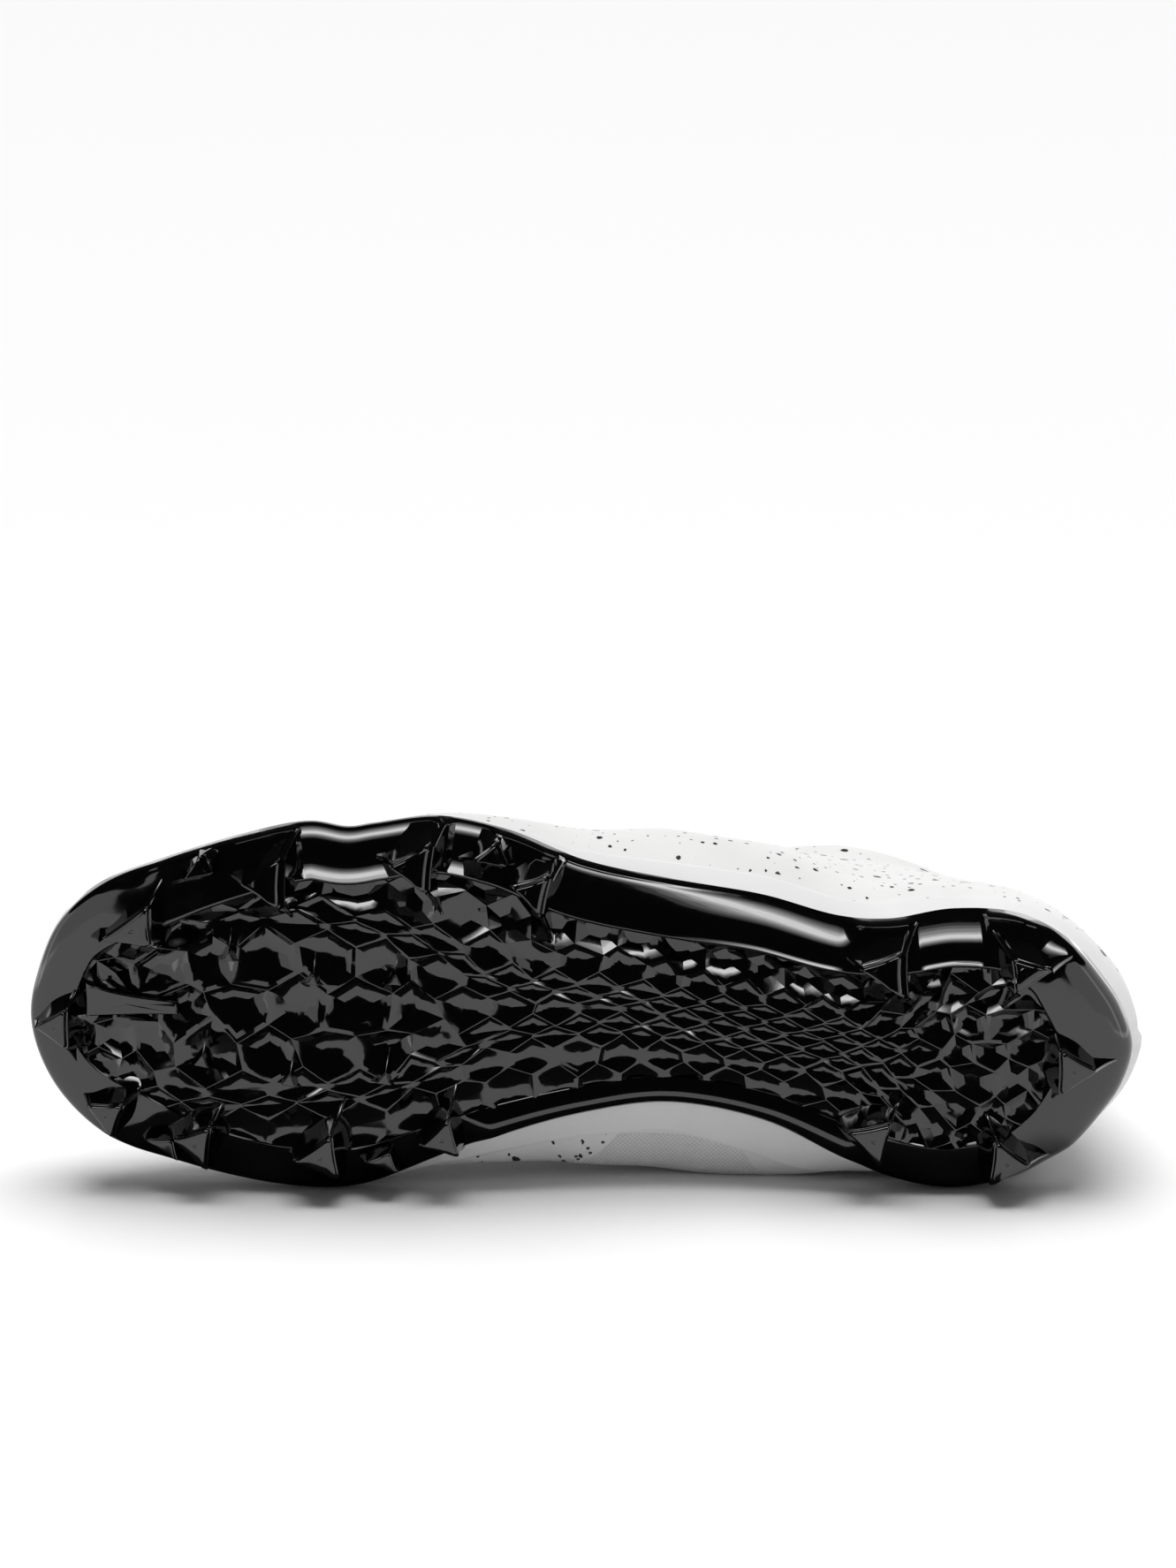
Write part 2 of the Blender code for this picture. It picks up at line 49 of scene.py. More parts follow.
# Sizes are in mm for the shoe standing on its studs: x from heel to toe, y to the lateral side, z up.
# layDown() turns every finished piece onto its medial side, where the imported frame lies.
def table(names, rows):
    return {name: np.array(values, float) for name, values in zip(names.split(), zip(*rows))}


rim = table("station lateral medial", (
    (0, -7.0, -7.0), (3, 3.0, -17.5), (8, 11.0, -24.5), (17, 21.3, -34.0), (30, 28.5, -42.0),
    (48, 30.0, -45.3), (65, 27.3, -42.0), (78, 28.0, -36.0), (98, 33.3, -26.5), (123, 37.4, -22.0),
    (145, 42.5, -24.6), (165, 51.0, -29.8), (183, 55.0, -36.5), (200, 53.2, -43.3), (207, 52.2, -44.9),
    (217, 53.6, -45.3), (235, 50.0, -43.3), (256, 43.3, -38.3), (273, 36.0, -31.0), (284, 25.5, -21.0),
    (290, 11.5, -10.0), (292, 0.5, 0.5),
))
side = table("station underside lateralRise medialRise lateralBand medialBand", (
    (0, 16.0, 11.0, 11.0, 19.0, 19.0), (18, 12.2, 11.0, 11.0, 15.0, 15.0), (45, 11.0, 11.0, 11.0, 13.0, 13.0),
    (72, 12.0, 10.0, 9.0, 12.6, 11.0), (100, 15.0, 9.0, 6.5, 13.0, 8.0), (125, 16.5, 9.0, 6.0, 13.4, 7.5),
    (150, 15.0, 9.0, 7.0, 13.4, 8.0), (177, 12.0, 9.5, 9.0, 13.0, 10.0), (205, 11.0, 10.0, 10.0, 13.0, 12.0),
    (225, 11.8, 10.0, 10.0, 13.5, 12.5), (248, 14.5, 7.5, 10.5, 14.5, 13.5),
    (270, 19.0, 6.5, 9.0, 15.5, 15.5), (292, 25.0, 7.0, 7.0, 10.5, 10.5),
))
# each rib of the upper: its share of the way from heel to toe, then where it ends at the opening's edge
ribs = table("share station half height lateralBelly medialBelly ramp turn", (
    (0.00, 8.0, 0.0, 113.0, 5.5, 5.5, 0.0, 55), (0.05, 11.0, 9.0, 113.0, 5.5, 5.5, 0.0, 55),
    (0.10, 20.0, 16.5, 111.5, 4.0, 4.0, 0.0, 55), (0.18, 43.0, 27.0, 108.5, 3.5, 1.5, 0.0, 50),
    (0.25, 66.0, 35.5, 107.5, 7.0, 3.5, 0.0, 45), (0.32, 88.0, 34.5, 109.0, 10.0, 17.5, 0.0, 45),
    (0.38, 105.0, 27.5, 111.0, 11.0, 23.0, 0.0, 48), (0.43, 117.0, 21.0, 112.0, 11.0, 23.5, 0.0, 50),
    (0.48, 126.0, 17.5, 107.0, 8.0, 21.0, 0.05, 55), (0.55, 140.0, 15.5, 98.5, 3.5, 14.5, 0.12, 62),
    (0.65, 160.0, 13.5, 87.0, 1.5, 4.0, 0.28, 72), (0.75, 176.0, 12.0, 78.5, 1.5, 1.2, 0.34, 78),
    (0.85, 188.0, 10.0, 72.5, 1.5, 1.2, 0.35, 82), (0.93, 194.5, 6.0, 69.8, 1.5, 1.5, 0.35, 86),
    (1.00, 197.0, 0.0, 69.0, 1.5, 1.5, 0.35, 88),
))
last = {
    "axisHeel": -10.3,         # the opening's own middle line
    "axisSlope": 0.05,
    "spine": (24.0, 270.0),    # ends of the line in the sole that the ribs run in to
    "footInset": 2.1,          # from the rim in to the upper
    "lateralBellyAt": 0.22,
    "medialBellyAt": 0.12,
    "wall": 2.0,
    "throatHalf": 0.5,
    "underlap": 11.0,          # tongue under each side of the throat
    "floorSoft": 0.12,         # how softly it flattens where it rests on the floor
}


def smoothCurve(knots, values, at):
    knots = np.asarray(knots, float)
    values = np.asarray(values, float)
    slopes = np.gradient(values, knots, axis=0)
    at = np.clip(at, knots[0], knots[-1])
    low = np.clip(np.searchsorted(knots, at, side="right") - 1, 0, len(knots) - 2)
    span = knots[low + 1] - knots[low]
    t = (at - knots[low]) / span
    if values.ndim > 1:
        t = t[:, None]
        span = span[:, None]
    start = (1 + 2 * t) * (1 - t) ** 2 * values[low] + t * (1 - t) ** 2 * span * slopes[low]
    end = t * t * (3 - 2 * t) * values[low + 1] + t * t * (t - 1) * span * slopes[low + 1]
    return start + end


def smoothStep(low, high, value):
    t = np.clip((np.asarray(value, float) - low) / (high - low), 0, 1)
    return t * t * (3 - 2 * t)


def plateau(value, low, high, soft):
    # 1 between low and high, fading to 0 over the soft width outside
    return smoothStep(low - soft, low, value) * (1 - smoothStep(high, high + soft, value))


def hump(offset, half):
    return np.exp(-(offset / half) ** 2)


def lineAt(rows, at):
    # straight lines between the rows of a table with two columns
    return np.interp(at, *rows.values())


def curveAt(rows, at):
    return smoothCurve(*rows.values(), at)


def unit(vectors):
    return vectors / np.linalg.norm(vectors, axis=-1, keepdims=True)


def runLength(points):
    return np.concatenate([[0.0], np.cumsum(np.linalg.norm(np.diff(points, axis=0), axis=1))])


def alongLine(at, knots, line):
    return np.stack([np.interp(at, knots, line[:, axis]) for axis in range(line.shape[1])], 1)


def turnsOf(count):
    return np.linspace(0, 2 * math.pi, count, endpoint=False)


def sideAt(name, station):
    return smoothCurve(side["station"], side[name], station)


def ribAt(name, share):
    return smoothCurve(ribs["share"], ribs[name], share)


def bySide(curve, part, which, at):
    return np.where(which > 0, curve("lateral" + part, at), curve("medial" + part, at))


def axisAt(station):
    return last["axisHeel"] + last["axisSlope"] * station


def spineAt(share):
    station = np.interp(share, (0, 1), last["spine"])
    return np.stack([station, axisAt(station)], 1)


def onPlate(flat, height):
    # points over a flat layout, so high above the plate's underside
    return np.column_stack([flat, sideAt("underside", flat[:, 0]) + height])


def rimLines(count=600):
    # the rim of each side from heel to toe, evenly spaced, with outward normals
    loop = np.concatenate([
        np.stack([rim["station"], rim["lateral"]], 1),
        np.stack([rim["station"], rim["medial"]], 1)[-2:0:-1],
    ])
    wrap = 3
    ring = np.concatenate([loop[-wrap:], loop, loop[:wrap + 1]])
    steps = np.linalg.norm(np.diff(ring, axis=0), axis=1)
    knots = np.concatenate([[0.0], np.cumsum(np.sqrt(steps * mm))])
    toe = knots[wrap + len(rim["station"]) - 1]
    share = np.linspace(0.0, 1.0, count)
    lines = {}
    for which, heel in ((1, knots[wrap]), (-1, knots[wrap + len(loop)])):
        line = smoothCurve(knots, ring, np.linspace(heel, toe, count))
        length = runLength(line)
        line = alongLine(share, length / length[-1], line)
        along = np.gradient(line, axis=0)
        outward = np.stack([-along[:, 1], along[:, 0]], 1) * which
        outward[0] = (-1.0, 0.0)
        outward[-1] = (1.0, 0.0)
        lines[which] = (share, line, unit(outward))
    return lines


rimOf = rimLines()
rimPoints, rimOutward = (np.concatenate([rimOf[1][part], rimOf[-1][part]]) for part in (1, 2))
rimSide = np.repeat([1, -1], len(rimOf[1][0]))
rimBand, rimRise = (bySide(sideAt, part, rimSide, rimPoints[:, 0]) for part in ("Band", "Rise"))
rimTree = kdtree.KDTree(len(rimPoints))
for place, point in enumerate(rimPoints):
    rimTree.insert((point[0], point[1], 0.0), place)
rimTree.balance()
rimShape = {
    # profiles across the band, from its inner edge at 0 to the rim at 1, as shares of the rise
    "flat": table("t share", (
        (0, 0), (0.12, 0.036), (0.25, 0.078), (0.5, 0.16), (0.75, 0.255), (0.9, 0.33), (0.95, 0.38),
        (0.985, 0.68), (1, 1),
    )),
    "scoop": table("t share", (
        (0, 0), (0.08, 0.092), (0.16, 0.172), (0.24, 0.236), (0.32, 0.285), (0.42, 0.33), (0.55, 0.375),
        (0.7, 0.424), (0.76, 0.464), (0.82, 0.515), (0.88, 0.579), (0.93, 0.642), (0.965, 0.695),
        (0.985, 0.735), (0.993, 0.76), (1, 1),
    )),
    "cove": table("t share", (
        (0, 0), (0.04, 0.045), (0.08, 0.08), (0.13, 0.103), (0.22, 0.14), (0.35, 0.198), (0.45, 0.258),
        (0.55, 0.345), (0.65, 0.453), (0.75, 0.575), (0.85, 0.72), (0.92, 0.845), (0.96, 0.92), (1, 1),
    )),
    "fall": table("t share", (
        (0, 0), (0.12, 0.045), (0.25, 0.105), (0.5, 0.245), (0.75, 0.43), (0.9, 0.62), (0.96, 0.78), (1, 1),
    )),
    "bumper": table("t share", (
        (0, 0), (0.3, 0.0), (0.5, 0.006), (0.65, 0.022), (0.78, 0.055), (0.87, 0.1), (0.93, 0.165),
        (0.965, 0.26), (0.985, 0.42), (1, 1),
    )),
    "heel": table("t share", (
        (0, 0), (0.3, 0.0), (0.5, 0.012), (0.65, 0.04), (0.78, 0.09), (0.87, 0.16), (0.93, 0.25),
        (0.965, 0.36), (0.985, 0.52), (1, 1),
    )),
    "arch": table("t share", (
        (0, 0.16), (0.17, 0.085), (0.33, 0.036), (0.46, 0.009), (0.55, 0.001), (0.62, 0.0), (0.69, 0.010),
        (0.75, 0.04), (0.83, 0.12), (0.91, 0.26), (0.96, 0.42), (0.985, 0.64), (1, 1),
    )),
    # where each profile holds: its side (0 for both), first and final station, fade
    "runs": (
        ("flat", 1, 30.0, 257.0, 9.0), ("fall", -1, 178.0, 257.0, 8.0), ("arch", -1, 78.0, 168.0, 8.0),
        ("heel", 0, -20.0, 15.0, 9.0), ("bumper", 0, 276.0, 320.0, 26.0),
    ),
    "hollows": (
        ("cove", 1, 79.0, 149.0, 7.0), ("scoop", 1, 184.5, 219.5, 1.8), ("scoop", 1, 169.5, 178.5, 1.8),
        ("cove", 1, 41.0, 58.5, 1.8),
    ),
    "coveFade": (92.0, 140.0),     # the long cove thins out between these stations
    "coveLess": 0.62,
}


def nearestRim(flat):
    found = np.array([rimTree.find((p[0], p[1], 0.0))[1] for p in flat])
    inside = np.einsum("ij,ij->i", rimPoints[found] - flat, rimOutward[found])
    return found, inside


def fromBand(flat):
    # nearest place on the rim, and how far inside the band's inner edge
    found, inside = nearestRim(flat)
    return found, inside - rimBand[found]


def bandShare(t, station, which, hollows):
    # a round roll, shaped over by each profile where it holds, with the hollows if asked for
    share = 1 - np.sqrt(np.clip(1 - t ** 2, 0, 1))
    for name, held, low, high, soft in rimShape["runs"] + (rimShape["hollows"] if hollows else ()):
        weight = plateau(station, low, high, soft)
        if held:
            weight = weight * (which == held)
        if name == "cove":
            weight = weight * (1 - rimShape["coveLess"] * smoothStep(*rimShape["coveFade"], station))
        share = share * (1 - weight) + curveAt(rimShape[name], t) * weight
    return share


def soleHeight(flat):
    # underside of the plate with its edge, hollows filled
    found, inside = nearestRim(flat)
    t = np.clip(1 - inside / rimBand[found], 0, 1)
    rolled = rimRise[found] * bandShare(t, rimPoints[found, 0], rimSide[found], False)
    return sideAt("underside", flat[:, 0]) + rolled


def waysRound(count):
    # a way round the shoe: heel 0, along the lateral side to the toe at 1, back along the medial side to 2
    return np.arange(2 * count) / count


def unwrap(way):
    way = np.mod(np.asarray(way, float), 2.0)
    return np.where(way <= 1, way, 2 - way), np.where(way <= 1, 1, -1)


def ribFoot(way):
    # where each rib meets the rim, the way outward, and the band's width and rise there
    share, which = unwrap(way)
    edge = np.zeros(share.shape + (2,))
    outward = np.zeros(share.shape + (2,))
    for number, (shares, line, normal) in rimOf.items():
        chosen = which == number
        edge[chosen] = alongLine(share[chosen], shares, line)
        outward[chosen] = alongLine(share[chosen], shares, normal)
    wide, rise = (bySide(sideAt, part, which, edge[:, 0]) for part in ("Band", "Rise"))
    return edge, unit(outward), wide, rise


def wallAt(way, up):
    # outer face of the last's shell, from the rim at up = 0 to the opening's edge at up = 1
    way = np.asarray(way, float)
    up = np.broadcast_to(np.asarray(up, float), way.shape)
    share, which = unwrap(way)
    edge, outward, _, rise = ribFoot(way)
    foot = edge - outward * last["footInset"]
    footHeight = sideAt("underside", foot[:, 0]) + rise
    station = ribAt("station", share)
    top = np.stack([station, axisAt(station) + which * ribAt("half", share)], 1)
    turn = np.radians(ribAt("turn", share))
    inward = (1 - np.cos(up * turn)) / (1 - np.cos(turn))
    ramp = ribAt("ramp", share)
    climb = (1 - ramp) * np.sin(up * turn) / np.sin(turn) + ramp * inward
    fullAt = np.where(which > 0, last["lateralBellyAt"], last["medialBellyAt"])
    fill = np.sin(np.clip(up / fullAt, 0, 1) * math.pi / 2)
    fade = np.cos(np.clip((up - fullAt) / (1 - fullAt), 0, 1) * math.pi / 2) ** 2
    belly = bySide(ribAt, "Belly", which, share) * np.where(up < fullAt, fill, fade)
    flat = foot + (top - foot) * inward[:, None] + outward * belly[:, None]
    return np.column_stack([flat, footHeight + (ribAt("height", share) - footHeight) * climb])


def wallNormal(way, up, aside=0.004, above=0.01):
    way = np.asarray(way, float)
    up = np.broadcast_to(np.asarray(up, float), way.shape)
    along = wallAt(way + aside, up) - wallAt(way - aside, up)
    climb = wallAt(way, np.minimum(up + above, 1.0)) - wallAt(way, np.maximum(up - above, 0.0))
    return unit(np.cross(climb, along))


skin = {
    # soft troughs and swells, alike on both sides: way, up, length round, width up the wall, lean, height
    "folds": (
        (0.80, 0.74, 0.050, 0.035, -0.25, -0.55), (0.86, 0.66, 0.060, 0.030, -0.20, -0.45),
        (0.30, 0.50, 0.060, 0.060, 0.40, -0.50), (0.44, 0.30, 0.070, 0.050, 0.50, 0.45),
    ),
    "ripple": 0.18,
    "rippleAround": (31, 4),          # waves round the shoe, and how they lean up the wall
    "rippleUp": (9, 3),
    "rippleAt": (0.2, 0.9, 0.1),
    "collar": (0.36, 0.44),           # the padded collar ends between these shares of the way to the toe
    "collarSwell": 1.1,
    "collarAt": (0.93, 0.05),
}


def wallRelief(way, up):
    way = np.mod(way, 2.0)
    around, lean = skin["rippleAround"]
    climb, shift = skin["rippleUp"]
    height = skin["ripple"] * np.sin(way * around + lean * up) * np.sin(up * climb + shift * way)
    height = height * plateau(up, *skin["rippleAt"])
    for at, level, length, width, lean, high in skin["folds"]:
        for past in (way - at, 2 - way - at):
            height = height + high * hump(past, length) * hump(up - level - lean * past, width)
    collar = 1 - smoothStep(*skin["collar"], unwrap(way)[0])
    middle, half = skin["collarAt"]
    return height + skin["collarSwell"] * collar * hump(up - middle, half)


def skinAt(way, up, lift=0.0):
    return wallAt(way, up) + wallNormal(way, up) * (wallRelief(way, up) + lift)[:, None]


def ribLength(way):
    points = np.stack([wallAt(way, level) for level in np.linspace(0, 1, 25)])
    return np.linalg.norm(np.diff(points, axis=0), axis=2).sum(axis=0)


def topWay(station):
    # the way on the lateral side whose rib ends at this station of the opening
    shares = np.linspace(0.0, 1.0, 800)
    return np.interp(station, ribAt("station", shares), shares)


# Laying the shoe down: four stud tips that the frame also gives, by station, side and height
tipMounts = (
    ("heel_medial_stud", 34.0, -33.0, 11.0),
    ("heel_lateral_stud", 30.0, 16.5, 11.0),
    ("ball_medial_stud", 215.0, -33.0, 11.0),
    ("ball_lateral_stud", 227.0, 40.0, 11.0),
)


def plateUp(station):
    slope = (sideAt("underside", station + 1.0) - sideAt("underside", station - 1.0)) / 2
    return unit(np.array([-float(slope), 0.0, 1.0]))


def findLay():
    place = {mount["name"]: np.array(mount["pos_m"]) / mm for mount in frame["record"]["mounts"]}
    here = []
    for _, station, across, high in tipMounts:
        root = np.array([station, across, float(sideAt("underside", station))])
        here.append(root - plateUp(station) * high)
    here = np.array(here)
    there = np.array([place[name] for name, *_ in tipMounts])
    left, _, right = np.linalg.svd((here - here.mean(0)).T @ (there - there.mean(0)))
    keepHand = np.diag([1.0, 1.0, np.sign(np.linalg.det(right.T @ left.T))])
    turn = right.T @ keepHand @ left.T
    shift = there.mean(0) - turn @ here.mean(0)
    print("lying fit, largest miss in mm:", round(float(np.abs(here @ turn.T + shift - there).max()), 4))
    return turn, shift


layTurn, layShift = findLay()


def layDown(points):
    lying = np.asarray(points, float) @ layTurn.T + layShift
    lying[:, 2] = last["floorSoft"] * np.logaddexp(0.0, lying[:, 2] / last["floorSoft"])
    return lying * mm


def gridFaces(rows, columns, around=False):
    faces = []
    for low in range(0, (rows - 1) * columns, columns):
        for column in range(columns if around else columns - 1):
            after = (column + 1) % columns
            faces.append((low + column, low + after, low + columns + after, low + columns + column))
    return faces


def addObject(name, data):
    thing = bpy.data.objects.new(name, data)
    bpy.context.scene.collection.objects.link(thing)
    return thing


def makePiece(name, points, faces, finish, slot, sharp, replaced=()):
    mesh = bpy.data.meshes.new(name)
    mesh.from_pydata(layDown(points).tolist(), [], faces)
    shape = bmesh.new()
    shape.from_mesh(mesh)
    bmesh.ops.recalc_face_normals(shape, faces=shape.faces)
    shape.to_mesh(mesh)
    shape.free()
    mesh.shade_smooth()
    mesh.set_sharp_from_angle(angle=math.radians(sharp))
    mesh.materials.append(finish)
    piece = addObject(name, mesh)
    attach(piece, "root")
    if replaced:
        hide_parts(*replaced)
    print("  piece", name, len(faces), "faces")
    return piece


def makeSheet(name, rows, finish, slot, sharp, replaced=(), around=True):
    faces = gridFaces(len(rows), len(rows[0]), around)
    return makePiece(name, np.concatenate(rows), faces, finish, slot, sharp, replaced)


def paintPoints(piece, name, values):
    values = np.asarray(values, np.float32)
    kind, field = ("FLOAT", "value") if values.ndim == 1 else ("FLOAT_VECTOR", "vector")
    layer = piece.data.attributes.new(name, kind, "POINT")
    layer.data.foreach_set(field, values.ravel())


class Lump:
    # rings of several shapes gathered into one piece
    def __init__(self):
        self.points = []
        self.faces = []
        self.count = 0

    def addRings(self, rings):
        rings = np.asarray(rings, float)
        faces = gridFaces(len(rings), rings.shape[1], around=True)
        self.points.append(rings.reshape(-1, 3))
        self.faces += [tuple(corner + self.count for corner in face) for face in faces]
        self.count += len(self.points[-1])

    def addCircles(self, middle, along, up, steps, count):
        # circles round a spot, each with its reach and height
        turns = turnsOf(count)[:, None]
        circle = np.cos(turns) * along + np.sin(turns) * np.cross(up, along)
        self.addRings([middle + circle * reach + up * high for reach, high in steps])

    def makePiece(self, name, *settings):
        return makePiece(name, np.concatenate(self.points), self.faces, *settings)


# Finishes
class Finish:
    # a node material, with brief ways to add to it
    def __init__(self, name, colour, roughness, more=None):
        self.material = bpy.data.materials.new(name)
        self.material.use_nodes = True
        self.nodes = self.material.node_tree.nodes
        self.join = self.material.node_tree.links.new
        self.shader = self.nodes["Principled BSDF"]
        self.fill(self.shader, {"Base Color": (*colour, 1.0), "Roughness": roughness, **(more or {})})

    def fill(self, node, values):
        # each value is a number, a colour, or another node's output
        for name, value in values.items():
            if isinstance(value, bpy.types.NodeSocket):
                self.join(value, node.inputs[name])
            else:
                node.inputs[name].default_value = value
        return node

    def add(self, kind, values=None, **settings):
        node = self.nodes.new("ShaderNode" + kind)
        for name, value in settings.items():
            setattr(node, name, value)
        return self.fill(node, values or {}).outputs

    def noise(self, scale, detail, rough=0.5):
        place = self.add("TexCoord")["Object"]
        values = {"Vector": place, "Scale": scale, "Detail": detail, "Roughness": rough}
        return self.add("TexNoise", values)["Fac"]

    def ramp(self, source, *stops):
        node = self.fill(self.nodes.new("ShaderNodeValToRGB"), {"Fac": source})
        for element, (at, shade) in zip(node.color_ramp.elements, stops):
            element.position = at
            element.color = (*shade, 1.0) if len(np.shape(shade)) else (shade, shade, shade, 1.0)
        return node.outputs["Color"]

    def bump(self, source, strength, distance):
        raised = self.add("Bump", {"Height": source, "Strength": strength, "Distance": distance * mm})
        self.fill(self.shader, {"Normal": raised["Normal"]})

    def combine(self, kind, first, second):
        return self.add("Math", {0: first, 1: second}, operation=kind)[0]


flecks = {
    "ragged": 1.1,                                        # how fine and how far their edges wander
    "sizes": ((7.0, 1.25, 0.42), (4.0, 0.60, 0.60)),      # mm apart, largest reach, share of places used
    "colour": (0.012, 0.012, 0.013),
}


def addFlecks(finish, under):
    # ragged black flecks of two sizes, placed in mm along and up the skin
    place = finish.add("Attribute", attribute_name="skinPlace")["Vector"]
    mask = finish.add("Attribute", attribute_name="fleck")["Fac"]
    ragged = finish.add("TexNoise", {"Vector": place, "Scale": flecks["ragged"]})["Color"]
    wander = (flecks["ragged"], flecks["ragged"], 0.0)
    bent = finish.add("VectorMath", {0: ragged, 1: wander, 2: place}, operation="MULTIPLY_ADD")["Vector"]
    total = None
    for apart, size, share in flecks["sizes"]:
        cells = finish.add("TexVoronoi", {"Vector": bent, "Scale": 1 / apart}, voronoi_dimensions="2D")
        pick = finish.add("SeparateColor", {"Color": cells["Color"]})
        reach = finish.combine("MULTIPLY", pick["Red"], size / apart)
        used = finish.combine("LESS_THAN", pick["Green"], finish.combine("MULTIPLY", mask, share))
        dot = finish.combine("MULTIPLY", finish.combine("LESS_THAN", cells["Distance"], reach), used)
        total = dot if total is None else finish.combine("MAXIMUM", total, dot)
    colours = {"Factor": total, "A": under, "B": (*flecks["colour"], 1.0)}
    return finish.add("Mix", colours, data_type="RGBA")["Result"]


plateLook = {
    "colour": (0.0009, 0.0009, 0.001),
    "roughness": 0.07,
    "gloss": {"IOR": 1.62, "Coat Weight": 0.25, "Coat Roughness": 0.04},
    "haze": (220.0, 4.0, 0.6),                            # noise: how fine, how detailed, how rough
    "hazeRoughness": ((0.35, 0.055), (0.75, 0.13)),
    "tint": (60.0, 2.0),
    "tintColours": ((0.3, (0.0006, 0.0006, 0.0008)), (0.7, (0.0012, 0.0012, 0.0014))),
    "wave": (95.0, 1.0),                                  # slow waves of the moulding
    "waveBump": (0.10, 0.35),                             # strength, height in mm
}
textileLook = {
    "roughness": 0.5,
    "sheen": 0.08,
    "grain": (1500.0, 3.0, 0.55),
    "grainBump": (0.18, 0.12),
    "cloud": (45.0, 2.0),                                 # slow patches, a little darker and smoother
    "patch": 0.955,
    "cloudRoughness": ((0.3, 0.46), (0.7, 0.58)),
    "cloudFrom": (0.3, 0.7),
}
wovenLook = {
    "sheen": 0.15,
    "waves": 0.314,                                       # scale that puts one wave in each thread's width
    "wander": 0.6,
    "between": 0.80,                                      # painted shade in the gaps between threads, as a share of the colour
    "gapTo": (0.05, 0.6),
    "high": 0.3,
}


def glossPlate():
    look = plateLook
    finish = Finish("glossPlate", look["colour"], look["roughness"], look["gloss"])
    finish.fill(finish.shader, {
        "Roughness": finish.ramp(finish.noise(*look["haze"]), *look["hazeRoughness"]),
        "Base Color": finish.ramp(finish.noise(*look["tint"]), *look["tintColours"]),
    })
    finish.bump(finish.noise(*look["wave"]), *look["waveBump"])
    return finish.material


def coatedTextile(name, colour, flecked):
    look = textileLook
    finish = Finish(name, colour, look["roughness"], {"Sheen Weight": look["sheen"]})
    finish.bump(finish.noise(*look["grain"]), *look["grainBump"])
    cloud = finish.noise(*look["cloud"])
    low = tuple(look["patch"] * part for part in colour)
    shade = finish.ramp(cloud, *zip(look["cloudFrom"], (low, colour)))
    finish.fill(finish.shader, {
        "Roughness": finish.ramp(cloud, *look["cloudRoughness"]),
        "Base Color": addFlecks(finish, shade) if flecked else shade,
    })
    return finish.material


def wovenFinish(name, colour, roughness, thread, lean, strength):
    # crossed threads, so many mm apart, turned by lean
    look = wovenLook
    finish = Finish(name, colour, roughness, {"Sheen Weight": look["sheen"]})
    turn = (0.0, math.radians(lean), 0.0)
    turned = finish.add("Mapping", {"Vector": finish.add("TexCoord")["Object"], "Rotation": turn})["Vector"]
    wave = {"Vector": turned, "Scale": look["waves"] / (thread * mm), "Distortion": look["wander"]}
    threads = [finish.add("TexWave", wave, bands_direction=direction)["Fac"] for direction in ("X", "Z")]
    weave = finish.combine("MULTIPLY", *threads)
    low = tuple(look["between"] * part for part in colour)
    # painted shade: the base colour darkens in the gaps between threads, where the bump sinks
    finish.fill(finish.shader, {"Base Color": finish.ramp(weave, *zip(look["gapTo"], (low, colour)))})
    finish.bump(weave, strength, look["high"])
    return finish.material


finishes = {
    "plate": glossPlate(),
    "textile": coatedTextile("whiteTextile", (0.80, 0.80, 0.795), True),
    "rand": coatedTextile("whiteRand", (0.81, 0.81, 0.81), False),
    "mesh": wovenFinish("whiteMesh", (0.80, 0.80, 0.80), 0.7, 0.9, 45.0, 0.5),
    "lining": wovenFinish("greyLining", (0.52, 0.52, 0.52), 0.85, 1.1, 20.0, 0.4),
    "tongue": wovenFinish("whiteTongue", (0.76, 0.76, 0.76), 0.8, 1.0, 45.0, 0.4),
    "lace": wovenFinish("whiteLace", (0.80, 0.80, 0.80), 0.75, 0.7, 45.0, 0.5),
    "insole": wovenFinish("greyInsole", (0.28, 0.28, 0.29), 0.9, 1.2, 0.0, 0.4),
    "thread": wovenFinish("whiteThread", (0.78, 0.78, 0.78), 0.6, 0.4, 30.0, 0.3),
    # painted shade: near black for the insides of the punched holes, which are drawn as shallow discs
    "hole": wovenFinish("paintedHoleShade", (0.06, 0.06, 0.06), 0.9, 0.5, 0.0, 0.3),
}
print("finishes made:", len(finishes))


# Plate: rolled rim band with its hollows, and a backing sheet behind the relief
rimBandMake = {
    "ribs": 420,               # on each side
    "rows": 40,                # from the band's inner edge out to the rim
    "backing": 3.6,            # depth of the sheet behind the relief
    "toeBacking": 1.7,         # and more at the toe, from between these stations
    "toeFrom": (252, 268),
    "backingInset": 1.0,       # it starts this far inside the band
    "backingSteps": (1.0, 0.6, 0.25, 0.0),
    "innerEdge": ((1.0, 1.6), (0.9, 0.8), (0.62, 0.25), (0.3, 0.05)),                # inset, depth
    "medialInset": 0.1,        # the medial inner edge drops straight
    "outerEdge": ((0.0, 0.18), (0.25, 0.31), (0.7, 0.35), (1.3, 0.28), (1.6, -1.5)),
}


